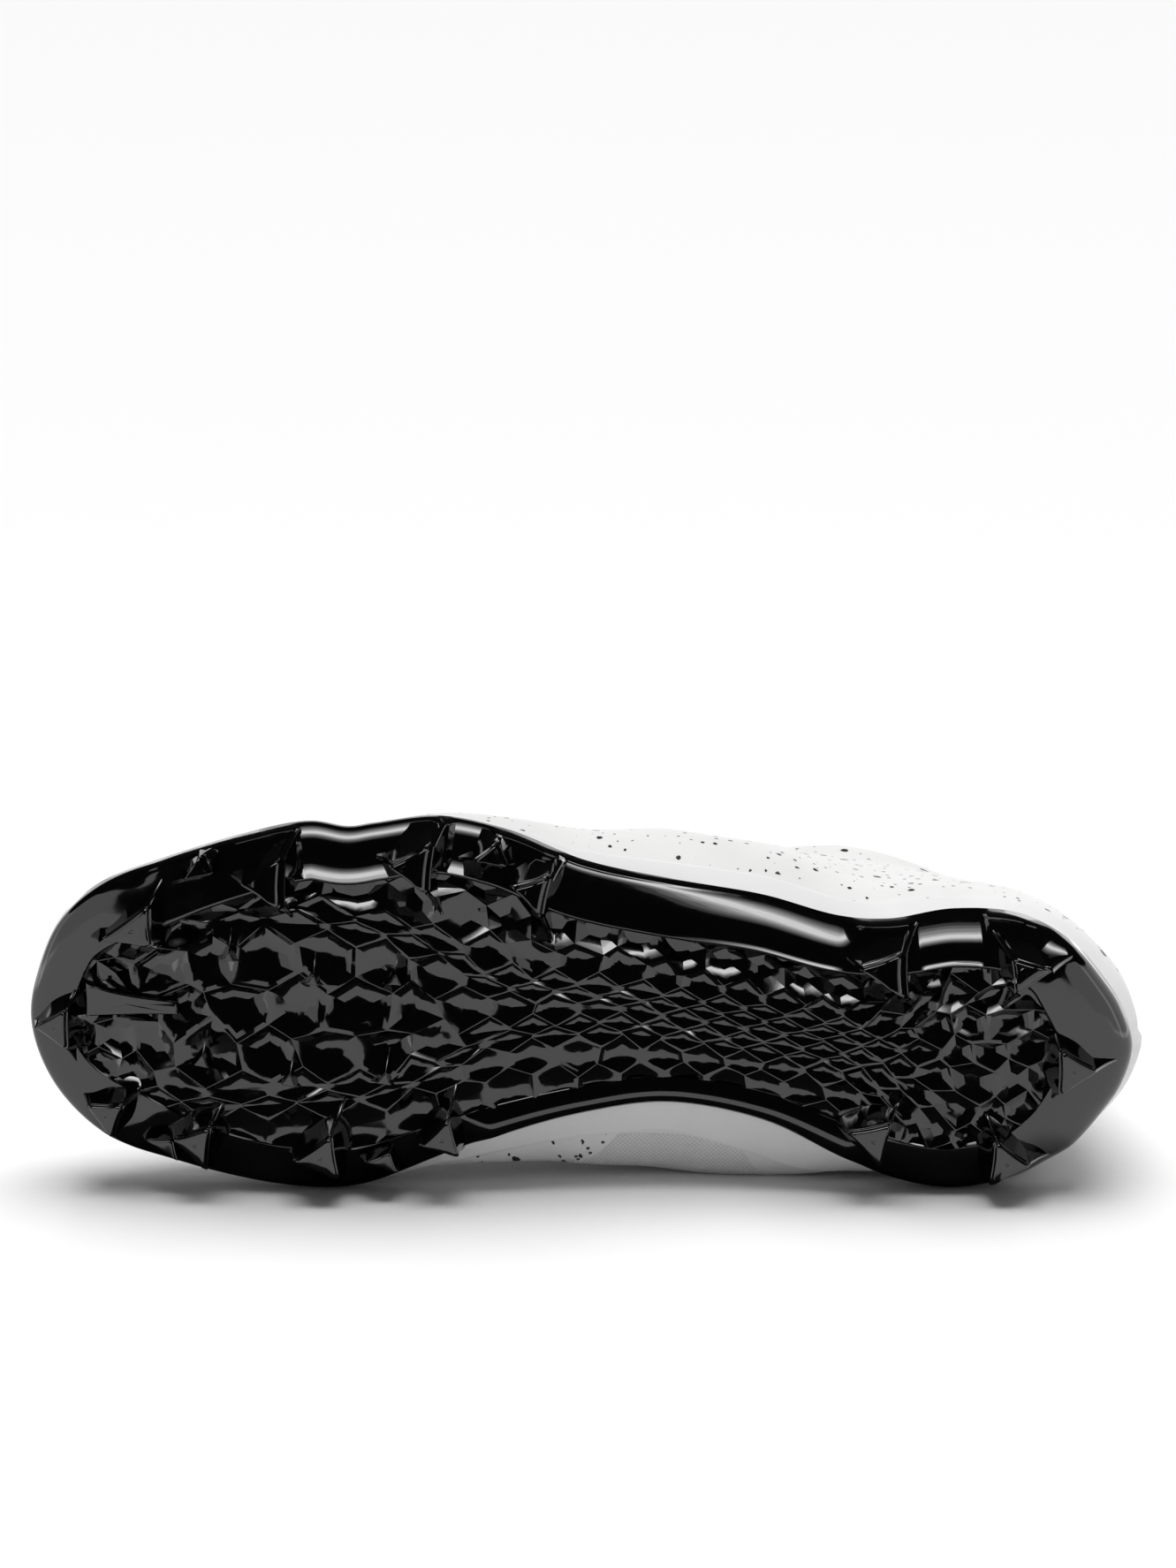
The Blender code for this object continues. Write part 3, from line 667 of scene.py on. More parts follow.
def makeRimBand():
    make = rimBandMake
    ways = waysRound(make["ribs"])
    edge, outward, wide, rise = ribFoot(ways)
    share, which = unwrap(ways)

    def ring(t, inset, raised):
        flat = edge + outward * (wide * (t - 1) - inset)[:, None]
        return onPlate(flat, rise * bandShare(t, edge[:, 0], which, True) + raised)

    rows = []
    start = edge - outward * (wide + make["backingInset"])[:, None]
    for step in make["backingSteps"]:
        flat = start + (spineAt(share) - start) * step
        deeper = make["toeBacking"] * smoothStep(*make["toeFrom"], flat[:, 0])
        rows.append(onPlate(flat, make["backing"] + deeper))
    steep = np.where(which > 0, 1.0, make["medialInset"])
    rows += [ring(0.0, inset * steep, depth) for inset, depth in make["innerEdge"]]
    rows += [ring(math.sin(step / make["rows"] * math.pi / 2), 0.0, 0.0) for step in range(make["rows"] + 1)]
    rows += [ring(1.0, inset, raised) for inset, raised in make["outerEdge"]]
    makeSheet("plateRim", rows, finishes["plate"], "black_plate", 38.0, ("outsole",))


makeRimBand()
print("plate rim made")


# Relief: warped honeycomb of dished cells, drawn tight along two bands that meet at the waist
relief = {
    "cellWide": table("station wide", (
        (0, 9.6), (55, 9.6), (95, 10.4), (130, 11.0), (180, 12.6), (205, 15.5), (245, 15.5), (262, 11.0),
        (292, 10.0),
    )),
    "rowShare": 0.82,                 # row height as a share of the cell's width
    "rowTight": 2.35,
    "tightReach": table("station reach", (
        (0, 9), (72, 9), (100, 7.5), (137, 5.5), (169, 4.5), (222, 4.0), (292, 4.5),
    )),
    "lateral": table("station across", (
        (0, -5), (40, -5), (67, -3), (102, 2.5), (137, 8), (169, 12), (188, 24), (222, 32), (262, 27),
        (292, 22),
    )),
    "medial": table("station across", (
        (0, -10), (67, -9), (102, -5), (137, 0), (169, -2), (178, -8.6), (199, -16.7), (222, -19), (245, -21),
        (262, -20), (292, -16),
    )),
    "tightFrom": (42, 74),
    "acrossMost": 64.0,               # ends and steps of the tables that the lattice is looked up in
    "acrossStep": 0.25,
    "levelMost": 18.0,
    "levelStep": 0.05,
    # where each kind of cell is
    "ballAt": (188, 262, 14),
    "ballHalf": 19,
    "heelTo": (58, 80),
    "archAt": (95, 172, 12),
    "archAcross": (-3, -10),
    "toeFrom": (250, 262),
    "waistSide": (70, 178, 10),       # lateral cells beside the band, and how far in they reach
    "waistReach": (5.7, 15.7),
    "ballSide": (180, 230, 8),
    "ballAcross": (27, 35),
    "heelAcross": (-4, 4),
    # level of the ribs
    "recess": 0.45,
    "toeRecess": 1.7,
    "toeRecessFrom": (255, 270),
    "edgeDip": {1: 2.3, -1: 0.5},     # the outer cells fall away to the band, by side
    "dipAt": (60, 250, 14),
    "dipReach": 10.0,
    "swell": 0.34,                    # slow waves of the forefoot, and how they run
    "waveAlong": (0.37, 1.4, 0.19),
    "waveAcross": (0.33, 0.6),
    # what each kind of cell adds: to how far corners stray, to depth, to the steepest it may be and so on
    "stray": {"all": 1.4, "ball": 1.5, "heel": 1.0},
    "depth": {
        "all": 1.3, "arch": -0.2, "facet": 0.4, "lateral": 0.9, "ball": 0.4, "toe": 0.8, "heelSide": 0.6,
    },
    "steepest": {"all": 0.24, "facet": 0.06, "lateral": 0.1, "toe": 0.14, "heelSide": 0.22},
    "faceUp": {"all": 0.03, "tightOnly": 0.13, "ball": 0.09, "heel": 0.12, "arch": -0.06},
    "facet": {"ball": 0.45, "heelMiddle": 0.8, "foreSide": 0.85},
    "soften": {"all": 0.2, "arch": 0.6, "lateral": 0.3, "ball": 0.3, "facet": -1.0},
    "ribHalf": {"all": 0.10, "tight": 0.09},
    "tightStray": 0.6,                # tight corners stray this much less
    "tightSwing": 0.24,
    "vary": 0.25,                     # depths differ by this share, and more under the ball
    "ballVary": 0.2,
    "tilt": 0.11,
    "tightTilt": 0.5,                 # tight cells tilt this much less
    "narrowAt": 12,                   # percentile of a cell's reaches that counts as its narrow one
    "leastRib": (0.4, 0.1),           # least share of a cell that ribs leave, and least reach they count
    "drift": 0.28,                    # a facet's middle moves by up to this share of the cell
    "facetFloor": 0.36,               # flat middle of a faceted cell
    "rings": (0.86, 0.70, 0.52, 0.36, 0.17, 0.0),
    "overBand": 4.0,                  # cells with their middle up to here over the band are used
    "bandGap": 0.7,
    "leastCell": 2.5,                 # cells squeezed smaller than this, in square mm, are left out
}


def tightness(station, across):
    reach = lineAt(relief["tightReach"], station)
    lateral, medial = (hump(across - lineAt(relief[name], station), reach) for name in ("lateral", "medial"))
    return np.maximum(lateral, medial) * smoothStep(*relief["tightFrom"], station)


def tightMiddle(station):
    return 0.5 * (lineAt(relief["lateral"], station) + lineAt(relief["medial"], station))


def latticeTables():
    most, step, top = relief["acrossMost"], relief["acrossStep"], relief["levelMost"]
    stations = np.arange(0.0, rim["station"][-1] + 1.0, 1.0)
    across = np.arange(-most, most + 0.01, step)
    levels = np.arange(-top, top + 0.01, relief["levelStep"])
    wide = lineAt(relief["cellWide"], stations)
    columns = np.concatenate([[0.0], np.cumsum(1.0 / wide[1:])])
    loose = relief["rowShare"] * wide[:, None]
    high = loose - (loose - relief["rowTight"]) * tightness(stations[:, None], across[None])
    places = []
    for middle, count in zip(tightMiddle(stations), np.cumsum(step / high, axis=1)):
        places.append(np.interp(levels, count - np.interp(middle, across, count), across))
    return stations, columns, levels, np.array(places)


stationsOf, columnsOf, levelsOf, placesOf = latticeTables()


def latticePoint(column, row):
    station = np.interp(column, columnsOf, stationsOf)
    i = np.clip(station.astype(int), 0, len(stationsOf) - 2)
    j = (row - levelsOf[0]) / relief["levelStep"]
    jLow = np.clip(j.astype(int), 0, len(levelsOf) - 2)
    f = station - i
    g = j - jLow
    low = placesOf[i, jLow] * (1 - g) + placesOf[i, jLow + 1] * g
    high = placesOf[i + 1, jLow] * (1 - g) + placesOf[i + 1, jLow + 1] * g
    return np.stack([station, low * (1 - f) + high * f], -1)


def keepInside(flat, margin):
    # points beyond the band's inner edge come back to it
    shape = flat.shape
    flat = flat.reshape(-1, 2)
    found, inside = fromBand(flat)
    beyond = np.clip(-margin - inside, 0, None)
    return (flat - rimOutward[found] * beyond[:, None]).reshape(shape)


def ballShare(station, across):
    aside = (across - tightMiddle(station)) / relief["ballHalf"]
    return plateau(station, *relief["ballAt"]) * np.exp(-aside ** 4)


def heelShare(station):
    return 1 - smoothStep(*relief["heelTo"], station)


def archShare(station, across):
    return plateau(station, *relief["archAt"]) * smoothStep(*relief["archAcross"], across)


def weigh(name, shares):
    return sum(weight * shares[kind] for kind, weight in relief[name].items())


def cellShares(middle):
    # how much each cell is of each kind
    x, y = middle.T
    found, inside = fromBand(middle)
    tight = tightness(x, y)
    ball = ballShare(x, y)
    heel = heelShare(x)
    beside = (rimSide[found] > 0) * (1 - smoothStep(*relief["waistReach"], inside))
    lateral = beside * plateau(x, *relief["waistSide"])
    lateral = np.maximum(lateral, smoothStep(*relief["ballAcross"], y) * plateau(x, *relief["ballSide"]))
    lateral = np.maximum(lateral, smoothStep(*relief["heelAcross"], y) * heel)
    shares = {
        "all": 1.0, "tight": tight, "tightOnly": tight * (1 - ball), "ball": ball, "lateral": lateral,
        "heel": heel, "heelMiddle": heel * (1 - lateral), "heelSide": heel * lateral,
        "foreSide": lateral * (1 - heel), "arch": archShare(x, y), "toe": smoothStep(*relief["toeFrom"], x),
    }
    shares["facet"] = np.clip(weigh("facet", shares), 0, 1) * (1 - tight)
    return shares


def reliefBase(flat):
    # the level of the ribs: recessed, deeper at the toe, in slow waves, and falling away beside the band
    shape = flat.shape[:-1]
    flat = flat.reshape(-1, 2)
    x, y = flat.T
    found, inside = fromBand(flat)
    dip = np.where(rimSide[found] > 0, relief["edgeDip"][1], relief["edgeDip"][-1])
    dip = dip * plateau(x, *relief["dipAt"]) * (1 - smoothStep(0.0, relief["dipReach"], inside))
    deep = relief["recess"] + relief["toeRecess"] * smoothStep(*relief["toeRecessFrom"], x)
    along, sway, swayAcross = relief["waveAlong"]
    across, shift = relief["waveAcross"]
    wave = np.sin(along * x + sway * np.sin(swayAcross * y)) * np.cos(across * y + shift)
    deep = deep + relief["swell"] * (1 + wave) * ballShare(x, y)
    return (sideAt("underside", x) + deep + dip).reshape(shape)


def scatter(key, along, across, spread):
    # a fixed number from 0 to 1 for each key
    value = np.sin(key[..., 0] * along + key[..., 1] * across) * spread
    return value - np.floor(value)


def strayCorner(ends):
    # one small shift for each corner, shared by the cells that meet there
    x, y = ends[..., 0], ends[..., 1]
    key = np.round(ends * 2).astype(int)
    turn = scatter(key, 12.9898, 78.233, 43758.5453) * 2 * math.pi
    stray = weigh("stray", {"all": 1.0, "ball": ballShare(x, y), "heel": heelShare(x)})
    away = scatter(key, 39.346, 11.135, 24634.6345) * stray * (1 - relief["tightStray"] * tightness(x, y))
    return ends + np.stack([np.cos(turn), np.sin(turn)], -1) * away[..., None]


def cellBorders():
    # outlines of the cells, six corners with two points between each
    columns, rows = np.meshgrid(np.arange(-1, int(columnsOf[-1]) + 2), np.arange(-15, 16))
    columns = columns.ravel() + 0.5 * (rows.ravel() % 2)
    rows = rows.ravel().astype(float)
    keep = fromBand(latticePoint(columns, rows))[1] > -relief["overBand"]
    corners = np.array(((0, 1, 1), (0.5, 1, -1), (0.5, -1, 1), (0, -1, -1), (-0.5, -1, 1), (-0.5, 1, -1))).T
    along = columns[keep, None] + corners[0]
    line = rows[keep, None] + 0.5 * corners[1]
    onLine = latticePoint(along, line)
    swing = 1 / 6 + relief["tightSwing"] * tightness(onLine[..., 0], onLine[..., 1])
    ends = strayCorner(latticePoint(along, line + swing * corners[2]))
    part = np.linspace(0, 1, 3, endpoint=False)[:, None]
    border = ends[:, :, None] * (1 - part) + np.roll(ends, -1, axis=1)[:, :, None] * part
    return border.reshape(len(ends), -1, 2)


def makeRelief():
    whole = cellBorders()
    cutOff = archShare(*whole.mean(axis=1).T) > 0.5             # whole bowls that the band cuts
    border = np.where(cutOff[:, None, None], whole, keepInside(whole, relief["bandGap"]))
    middle = border.mean(axis=1)
    arm = border - middle[:, None]
    reach = np.linalg.norm(arm, axis=2)
    shares = cellShares(middle)
    ball, facet, count = shares["ball"], shares["facet"], len(middle)
    vary = relief["vary"] + relief["ballVary"] * ball
    depth = weigh("depth", shares) * chance.uniform(1 - vary, 1 + vary, count)
    depth = np.minimum(depth, weigh("steepest", shares) * np.percentile(reach, relief["narrowAt"], axis=1))
    tilt = chance.uniform(-relief["tilt"], relief["tilt"], (count, 2))
    tilt = tilt * (1 + ball - relief["tightTilt"] * shares["tight"])[:, None]
    tilt[:, 1] += weigh("faceUp", shares)
    leastShare, leastReach = relief["leastRib"]
    narrowed = 1 - weigh("ribHalf", shares)[:, None] / np.maximum(reach, leastReach)
    rib = arm * np.clip(narrowed, leastShare, 1)[..., None]
    ribReach = np.linalg.norm(rib, axis=2, keepdims=True)
    mean = ribReach.mean(axis=1)
    circle = rib / np.maximum(ribReach, 1e-6) * mean[:, None]
    soften = np.clip(weigh("soften", shares), 0, 1)
    drift = chance.uniform(-relief["drift"], relief["drift"], (count, 2)) * mean * facet[:, None]
    points = []
    for q, ring in [(1.0, arm), (1.0, rib)] + [(q, rib) for q in relief["rings"]]:
        blend = (soften * (1 - q))[:, None, None]
        reached = (ring * (1 - blend) + circle * blend) * q + drift[:, None] * (1 - q)
        flat = keepInside(middle[:, None] + reached, relief["bandGap"])
        held = flat - middle[:, None]
        kept = np.linalg.norm(held, axis=2) / np.maximum(np.linalg.norm(reached, axis=2), 1e-6)
        level = q * np.where(cutOff[:, None], np.minimum(kept, 1), 1)
        slope = np.einsum("nij,nj->ni", held, tilt) * (1 - level ** 4)
        pitched = np.clip((1 - level) / (1 - relief["facetFloor"]), 0, 1)
        dish = (1 - level * level) * (1 - facet[:, None]) + pitched * facet[:, None]
        height = reliefBase(flat) + depth[:, None] * dish + slope
        points.append(np.concatenate([flat, height[..., None]], axis=2))
    outer = points[0][..., :2] - middle[:, None]
    after = np.roll(outer, -1, axis=1)
    area = 0.5 * np.abs((outer[..., 0] * after[..., 1] - outer[..., 1] * after[..., 0]).sum(axis=1))
    lump = Lump()
    for cell in np.stack(points, axis=1)[area > relief["leastCell"]]:
        lump.addRings(cell)
    print("  relief cells", len(lump.points), "of", count)
    lump.makePiece("plateRelief", finishes["plate"], "black_plate", 15.0)


makeRelief()
print("relief made")


# Studs: three-cornered tips whose corners run out in ridges over the plate
lateralNub = ((95, 1.7, 7.0), (215, 1.7, 3.6), (335, 1.7, 3.6))
medialNub = ((100, 2.0, 8.0), (220, 2.0, 3.8), (340, 2.0, 3.8))
# name, station and side of the tip, height, lean, flank,
# then for each corner its way, the tip's reach and the ridge's length
studRows = (
    ("toeStud", 284.4, -1.1, 7.5, 0, 5.0, ((2, 5.3, 6.8), (119, 5.2, 13.0), (243, 5.6, 14.0))),
    ("lateralToe", 263.2, 26.5, 9.0, 0, 3.0, ((122, 7.4, 16.5), (218, 5.8, 9.0), (342, 8.4, 13.0))),
    ("lateralToeFin", 245.5, 43.4, 6.5, 9, 3.0, ((100, 3.6, 6.0), (200, 3.6, 6.0), (322, 4.8, 11.0))),
    ("lateralBallFront", 227.2, 40.6, 11.0, 6, 3.0, ((0, 7.6, 11.0), (121, 8.2, 14.5), (242, 8.3, 12.5))),
    ("lateralBallRear", 188.3, 44.5, 11.0, 6, 3.0, ((5, 7.4, 11.0), (124, 8.1, 14.5), (247, 7.7, 15.5))),
    ("lateralBallFin", 168.5, 46.6, 6.5, 9, 2.6, ((109, 4.0, 6.0), (214, 4.6, 7.0), (350, 5.2, 9.5))),
    ("lateralWaist", 157.3, 37.0, 11.0, 6, 3.4, ((18, 6.4, 10.0), (132, 6.4, 13.0), (256, 6.6, 15.0))),
    ("medialToe", 270.7, -23.6, 9.5, 0, 3.8, ((28, 5.4, 8.5), (144, 5.0, 10.5), (258, 5.4, 9.5))),
    ("medialToeRear", 246.9, -29.8, 11.0, 0, 4.0, ((14, 5.9, 9.0), (127, 5.6, 11.5), (250, 6.4, 10.5))),
    ("medialBallFront", 214.0, -32.6, 11.0, 0, 4.0, ((354, 6.8, 10.0), (114, 6.2, 15.0), (232, 6.5, 10.5))),
    ("medialBallFin", 198.0, -35.0, 6.0, 0, 1.6, ((5, 4.0, 8.0), (120, 3.0, 5.5), (214, 4.0, 8.0))),
    ("medialBallRear", 182.3, -27.8, 11.0, 0, 3.4, ((346, 5.4, 8.5), (106, 5.4, 15.5), (226, 5.6, 9.5))),
    ("heelLateralFront", 65.5, 16.5, 11.0, 6, 3.0, ((10, 8.4, 11.5), (124, 7.0, 13.5), (238, 8.2, 12.0))),
    ("heelLateralRear", 29.6, 16.1, 11.0, 6, 3.0, ((48, 6.0, 15.0), (168, 7.0, 14.0), (299, 6.4, 12.0))),
    ("heelMedialFront", 69.6, -28.0, 11.0, 0, 3.8, ((18, 6.4, 10.0), (134, 5.8, 10.5), (256, 6.6, 10.5))),
    ("heelMedialRear", 34.9, -34.0, 11.0, 0, 3.8, ((67, 6.2, 12.0), (185, 6.0, 14.0), (304, 6.4, 10.0))),
    ("heelEnd", 17.4, -9.9, 10.0, 0, 3.6, ((61, 6.3, 11.0), (178, 6.0, 14.0), (299, 6.3, 11.5))),
    ("nubA", 238.0, 19.5, 4.0, 0, 1.0, lateralNub),
    ("nubB", 216.0, 13.5, 4.0, 0, 1.0, lateralNub),
    ("nubC", 194.5, 13.5, 4.0, 0, 1.0, lateralNub),
    ("nubD", 245.5, -9.0, 4.0, 0, 1.0, medialNub),
    ("nubE", 222.5, -13.5, 4.0, 0, 1.0, medialNub),
    ("nubF", 197.5, -13.0, 4.0, 0, 1.0, medialNub),
    ("medialToeWedge", 256.0, -32.5, 3.4, 0, 1.0, ((20, 4.6, 6.5), (140, 2.6, 4.0), (225, 4.4, 6.0))),
)
studMake = {
    "side": 24,             # points along each side of a tip
    "hollow": 0.10,         # a side's middle comes in by this share
    "rounding": 9,          # rounds of smoothing of its corners
    "sunk": 3.0,            # flanks end this far under the plate's face
    "mark": ((0.01, 0.14), (0.07, 0.14), (0.1, 0.0), (0.2, -0.01)),      # dimple in the tip: scale, depth
    "markFrom": 7.0,        # only in studs higher than this
    "edges": (              # inset, step: a rounded tip, its wall and the rounded ledge
        (0.95, 0.0), (0.76, 0.03), (0.60, 0.13), (0.47, 0.28), (0.41, 0.46), (0.36, 2.2),
        (0.2, 2.27), (0.1, 2.31), (0.04, 2.38), (0.01, 2.5), (0.0, 2.65),
    ),
    "fullTip": 2.6,         # a tip narrower than this has smaller edges
    "flank": (0.05, 0.12, 0.22, 0.36, 0.54, 0.76, 1.0),
    # the step round the tip, how far the tip sits towards the toe on it, how soft its edges are, how much
    # further flanks reach on a stud's lateral side, and their curve; most lateral studs lean
    "upright": {"ledge": 0.75, "pivot": 0.0, "soft": 1.0, "further": 0.4, "curve": 1.7},
    "leaning": {"ledge": 0.45, "pivot": 0.6, "soft": 1.7, "further": 0.85, "curve": 1.35},
    "inward": 0.6,          # flanks reach further towards the waist, the more so at toe and heel
    "waist": (140, 120),    # its station, and how far from there the most is reached
    "blade": (2.0, 0.42),   # half width of a ridge at its foot, radius of its crest
    "bladeSteps": 12,
    "bladeStart": (1.9, 1.6),      # inset from the tip's corner, drop from its face
    "bladeTurns": (-75, -45, -15, 15, 45, 75),
    "bladeFall": (0.5, 1.8, 0.8),  # least height, power it falls with, depth under the plate at its end
    "bladeWide": (0.3, 0.6),       # most width as a share of the tip's reach, and how much it narrows
    "crestMost": 0.6,              # most radius of the crest as a share of the width
    "rimGap": 0.8,          # ridges stop this far inside the rim
}
toeBar = {
    "outline": (
        (276.5, 1.5), (276.5, 11.0), (271.0, 9.5), (262.0, 8.2), (251.5, 7.2), (251.5, 3.2), (262.0, 2.8),
        (271.0, 2.0),
    ),
    "steps": ((0.0, 1.0), (0.15, -1.2), (0.3, -2.3), (0.6, -2.65), (1.0, -2.7)),    # inset, height
}


def insideRim(flat, gap):
    found, inside = nearestRim(flat)
    return flat - rimOutward[found] * np.clip(gap - inside, 0, None)[:, None]


def tipOutline(heads):
    # three slightly hollow sides with rounded corners
    share = np.linspace(0, 1, studMake["side"], endpoint=False)[:, None]
    hollow = 1 - studMake["hollow"] * 4 * share * (1 - share)
    pairs = zip(heads, np.roll(heads, -1, axis=0))
    outline = np.concatenate([(first * (1 - share) + final * share) * hollow for first, final in pairs])
    for _ in range(studMake["rounding"]):
        outline = 0.25 * np.roll(outline, 1, axis=0) + 0.5 * outline + 0.25 * np.roll(outline, -1, axis=0)
    return outline


def addStud(lump, station, across, high, lean, spread, corners):
    make = studMake
    kind = make["leaning" if lean else "upright"]
    spot = np.array([station, across])
    ways, tips, ridges = np.array(corners, float).T
    headings = np.stack([np.cos(np.radians(ways)), np.sin(np.radians(ways))], 1)
    heads = headings * tips[:, None]
    outline = tipOutline(heads)
    narrow = np.linalg.norm(outline, axis=1).min()
    size = min(1.0, narrow / make["fullTip"])
    grown = 1 + kind["ledge"] * size / narrow
    outline = outline * grown
    narrow = narrow * grown
    pivot = heads[heads[:, 0].argmax()] * kind["pivot"]
    up = plateUp(station)
    forward = np.array([up[2], 0.0, -up[0]])
    middle = np.array([station, across, float(sideAt("underside", station)) - high])
    rise = math.tan(math.radians(lean))

    def tipRing(scale, raised):
        offset = outline * scale + pivot * (1 - scale)
        points = middle + offset[:, :1] * forward + offset[:, 1:] * np.array([0.0, 1.0, 0.0])
        return points + up * (raised + rise * offset[:, 1:])

    marked = high > make["markFrom"]
    soft = size * kind["soft"]
    rings = [tipRing(scale, depth * marked) for scale, depth in make["mark"]]
    rings += [tipRing(1 - inset * soft / narrow, raised * soft) for inset, raised in make["edges"]]
    top = rings[-1]
    outward = unit(outline)
    waist, most = make["waist"]
    inward = make["inward"] * np.clip((station - waist) / most, -1, 1)
    far = spread * (1 + kind["further"] * outward[:, 1] - inward * outward[:, 0])
    foot = insideRim(spot + outline + outward * far[:, None], make["rimGap"])
    bottom = soleHeight(foot) + make["sunk"]
    for share in make["flank"]:
        flat = top[:, :2] + (foot - top[:, :2]) * share
        rings.append(np.column_stack([flat, bottom - (bottom - top[:, 2]) * (1 - share) ** kind["curve"]]))
    lump.addRings(rings)
    inset, drop = make["bladeStart"]
    for heading, tip, ridge in zip(headings, tips, ridges):
        near = tip * grown - inset * size
        addRidge(lump, spot, heading, near, ridge, middle[2] + drop * size + rise * near * heading[1], soft)


def addRidge(lump, spot, heading, near, far, crest, soft):
    # a sharp ridge from a corner of the tip out over the plate
    make = studMake
    share = np.linspace(0, 1, make["bladeSteps"])
    flat = insideRim(spot + heading * (near + (far - near) * share)[:, None], make["rimGap"])
    ground = soleHeight(flat)
    least, power, under = make["bladeFall"]
    stand = np.maximum(ground - crest, least) * (1 - share) ** power - under * share
    beside = np.array([-heading[1], heading[0]])
    wide, radius = make["blade"]
    most, narrowing = make["bladeWide"]
    wide = np.minimum(wide, most * near) * (1 - narrowing * share)
    radius = np.minimum(radius * soft, make["crestMost"] * wide)
    section = [(-wide, ground + make["sunk"])]
    for turn in np.radians(make["bladeTurns"]):
        section.append((radius * math.sin(turn), ground - stand + radius * (1 - math.cos(turn))))
    section.append((wide, ground + make["sunk"]))
    lines = [np.column_stack([flat + beside * across[:, None], level]) for across, level in section]
    lump.addRings(np.stack(lines, axis=1))


def insetLoop(loop, inset):
    after = np.roll(loop, -1, axis=0) - np.roll(loop, 1, axis=0)
    normal = unit(np.stack([after[:, 1], -after[:, 0]], 1))
    inward = np.sign(np.einsum("ij,ij->i", normal, loop.mean(axis=0) - loop))
    return loop + normal * inward[:, None] * inset


def makeStuds():
    lump = Lump()
    for _, *sizes in studRows:
        addStud(lump, *sizes)
    loop = np.array(toeBar["outline"])
    ahead = np.roll(loop, -1, axis=0) - loop
    loop = np.stack([loop + ahead * step for step in (0.0, 0.25, 0.5, 0.75)], 1).reshape(-1, 2)
    rings = [onPlate(insetLoop(loop, inset), height) for inset, height in toeBar["steps"]]
    rings.append(rings[-1] * 0.02 + rings[-1].mean(axis=0) * 0.98)
    lump.addRings(rings)
    lump.makePiece("plateStuds", finishes["plate"], "black_plate", 32.0)


makeStuds()
print("studs made")


# Upper: one shell of outer skin, rolled opening edge and lining
shell = {
    "ribs": 230,
    "levels": 54,
    "bunch": 1.15,           # levels are closer together at the foot
    "foot": ((5.5, 1.7), (3.4, 0.9)),        # inset and drop, tucked inside the plate's rim
    "edgeRoll": 5,
    "rollHigh": (3.0, 0.45),                 # most thickness that the roll rises with, and by what share
    "collarPad": 3.2,        # extra thickness of the padded collar, inside
    "collarEnd": (0.38, 0.46),
    "padFrom": (0.62, 0.86),                 # levels where it begins
    "liningLevels": 26,
    "fleckFade": (0.50, 0.68),               # flecks thin out between these shares of the way to the toe
    "fleckFrom": (0.02, 0.05),               # and at the foot
    "fleckBare": (1.528, 1.80, 0.01),        # none by the arch, on the medial side, up to these levels
    "bareTo": (0.42, 0.56),
    "fleckDense": (1.38, 1.52, 0.02),        # and more just ahead of it
    "denser": 0.6,
    "backSeam": 0.006,
    "around": 330.0,                         # mm round one side, for placing flecks
}


def fleckShare(ways, ups):
    way = np.mod(ways, 2.0)
    wanted = (1 - smoothStep(*shell["fleckFade"], unwrap(way)[0])) * smoothStep(*shell["fleckFrom"], ups)
    wanted = wanted * (1 - plateau(way, *shell["fleckBare"]) * (1 - smoothStep(*shell["bareTo"], ups)))
    wanted = wanted * (1 + shell["denser"] * plateau(way, *shell["fleckDense"]))
    return np.where(np.minimum(way, 2 - way) < shell["backSeam"], 0.0, wanted)


def makeUpper():
    ways = waysRound(shell["ribs"])
    lengths = ribLength(ways)
    edge, outward, _, rise = ribFoot(ways)
    rows = []
    paint = []
    places = []

    def lay(row, up, wanted):
        rows.append(row)
        paint.append(wanted)
        places.append(np.column_stack([ways * shell["around"], up * lengths, np.zeros(len(ways))]))

    for inset, drop in shell["foot"]:
        lay(onPlate(edge - outward * inset, rise - drop), 0.0, np.zeros(len(ways)))
    for level in np.linspace(0, 1, shell["levels"]) ** shell["bunch"]:
        lay(skinAt(ways, level), level, fleckShare(ways, level))
    top = rows[-1]
    normal = wallNormal(ways, 1.0)
    climb = unit(top - rows[-2])
    collar = 1 - smoothStep(*shell["collarEnd"], unwrap(ways)[0])
    thick = last["wall"] + shell["collarPad"] * collar
    most, share = shell["rollHigh"]
    for step in range(1, shell["edgeRoll"] + 1):
        angle = math.pi * step / shell["edgeRoll"]
        across = thick * (1 - math.cos(angle)) / 2
        over = np.minimum(thick, most) * share * math.sin(angle)
        row = top - normal * across[:, None] + climb * over[:, None]
        lay(row, 1 + 0.02 * step, fleckShare(ways, 1.0) * (step <= 2))
    piece = makeSheet("upperShell", rows, finishes["textile"], "white_upper", 50.0, ("upper",))
    paintPoints(piece, "fleck", np.concatenate(paint))
    paintPoints(piece, "skinPlace", np.concatenate(places))
    inner = [rows[-1]]
    for level in np.linspace(1, 0, shell["liningLevels"])[1:]:
        pad = last["wall"] + shell["collarPad"] * collar * smoothStep(*shell["padFrom"], level)
        inner.append(skinAt(ways, level) - wallNormal(ways, level) * pad[:, None])
    makeSheet("upperLining", inner, finishes["lining"], "white_upper", 50.0)


makeUpper()
print("upper shell made")


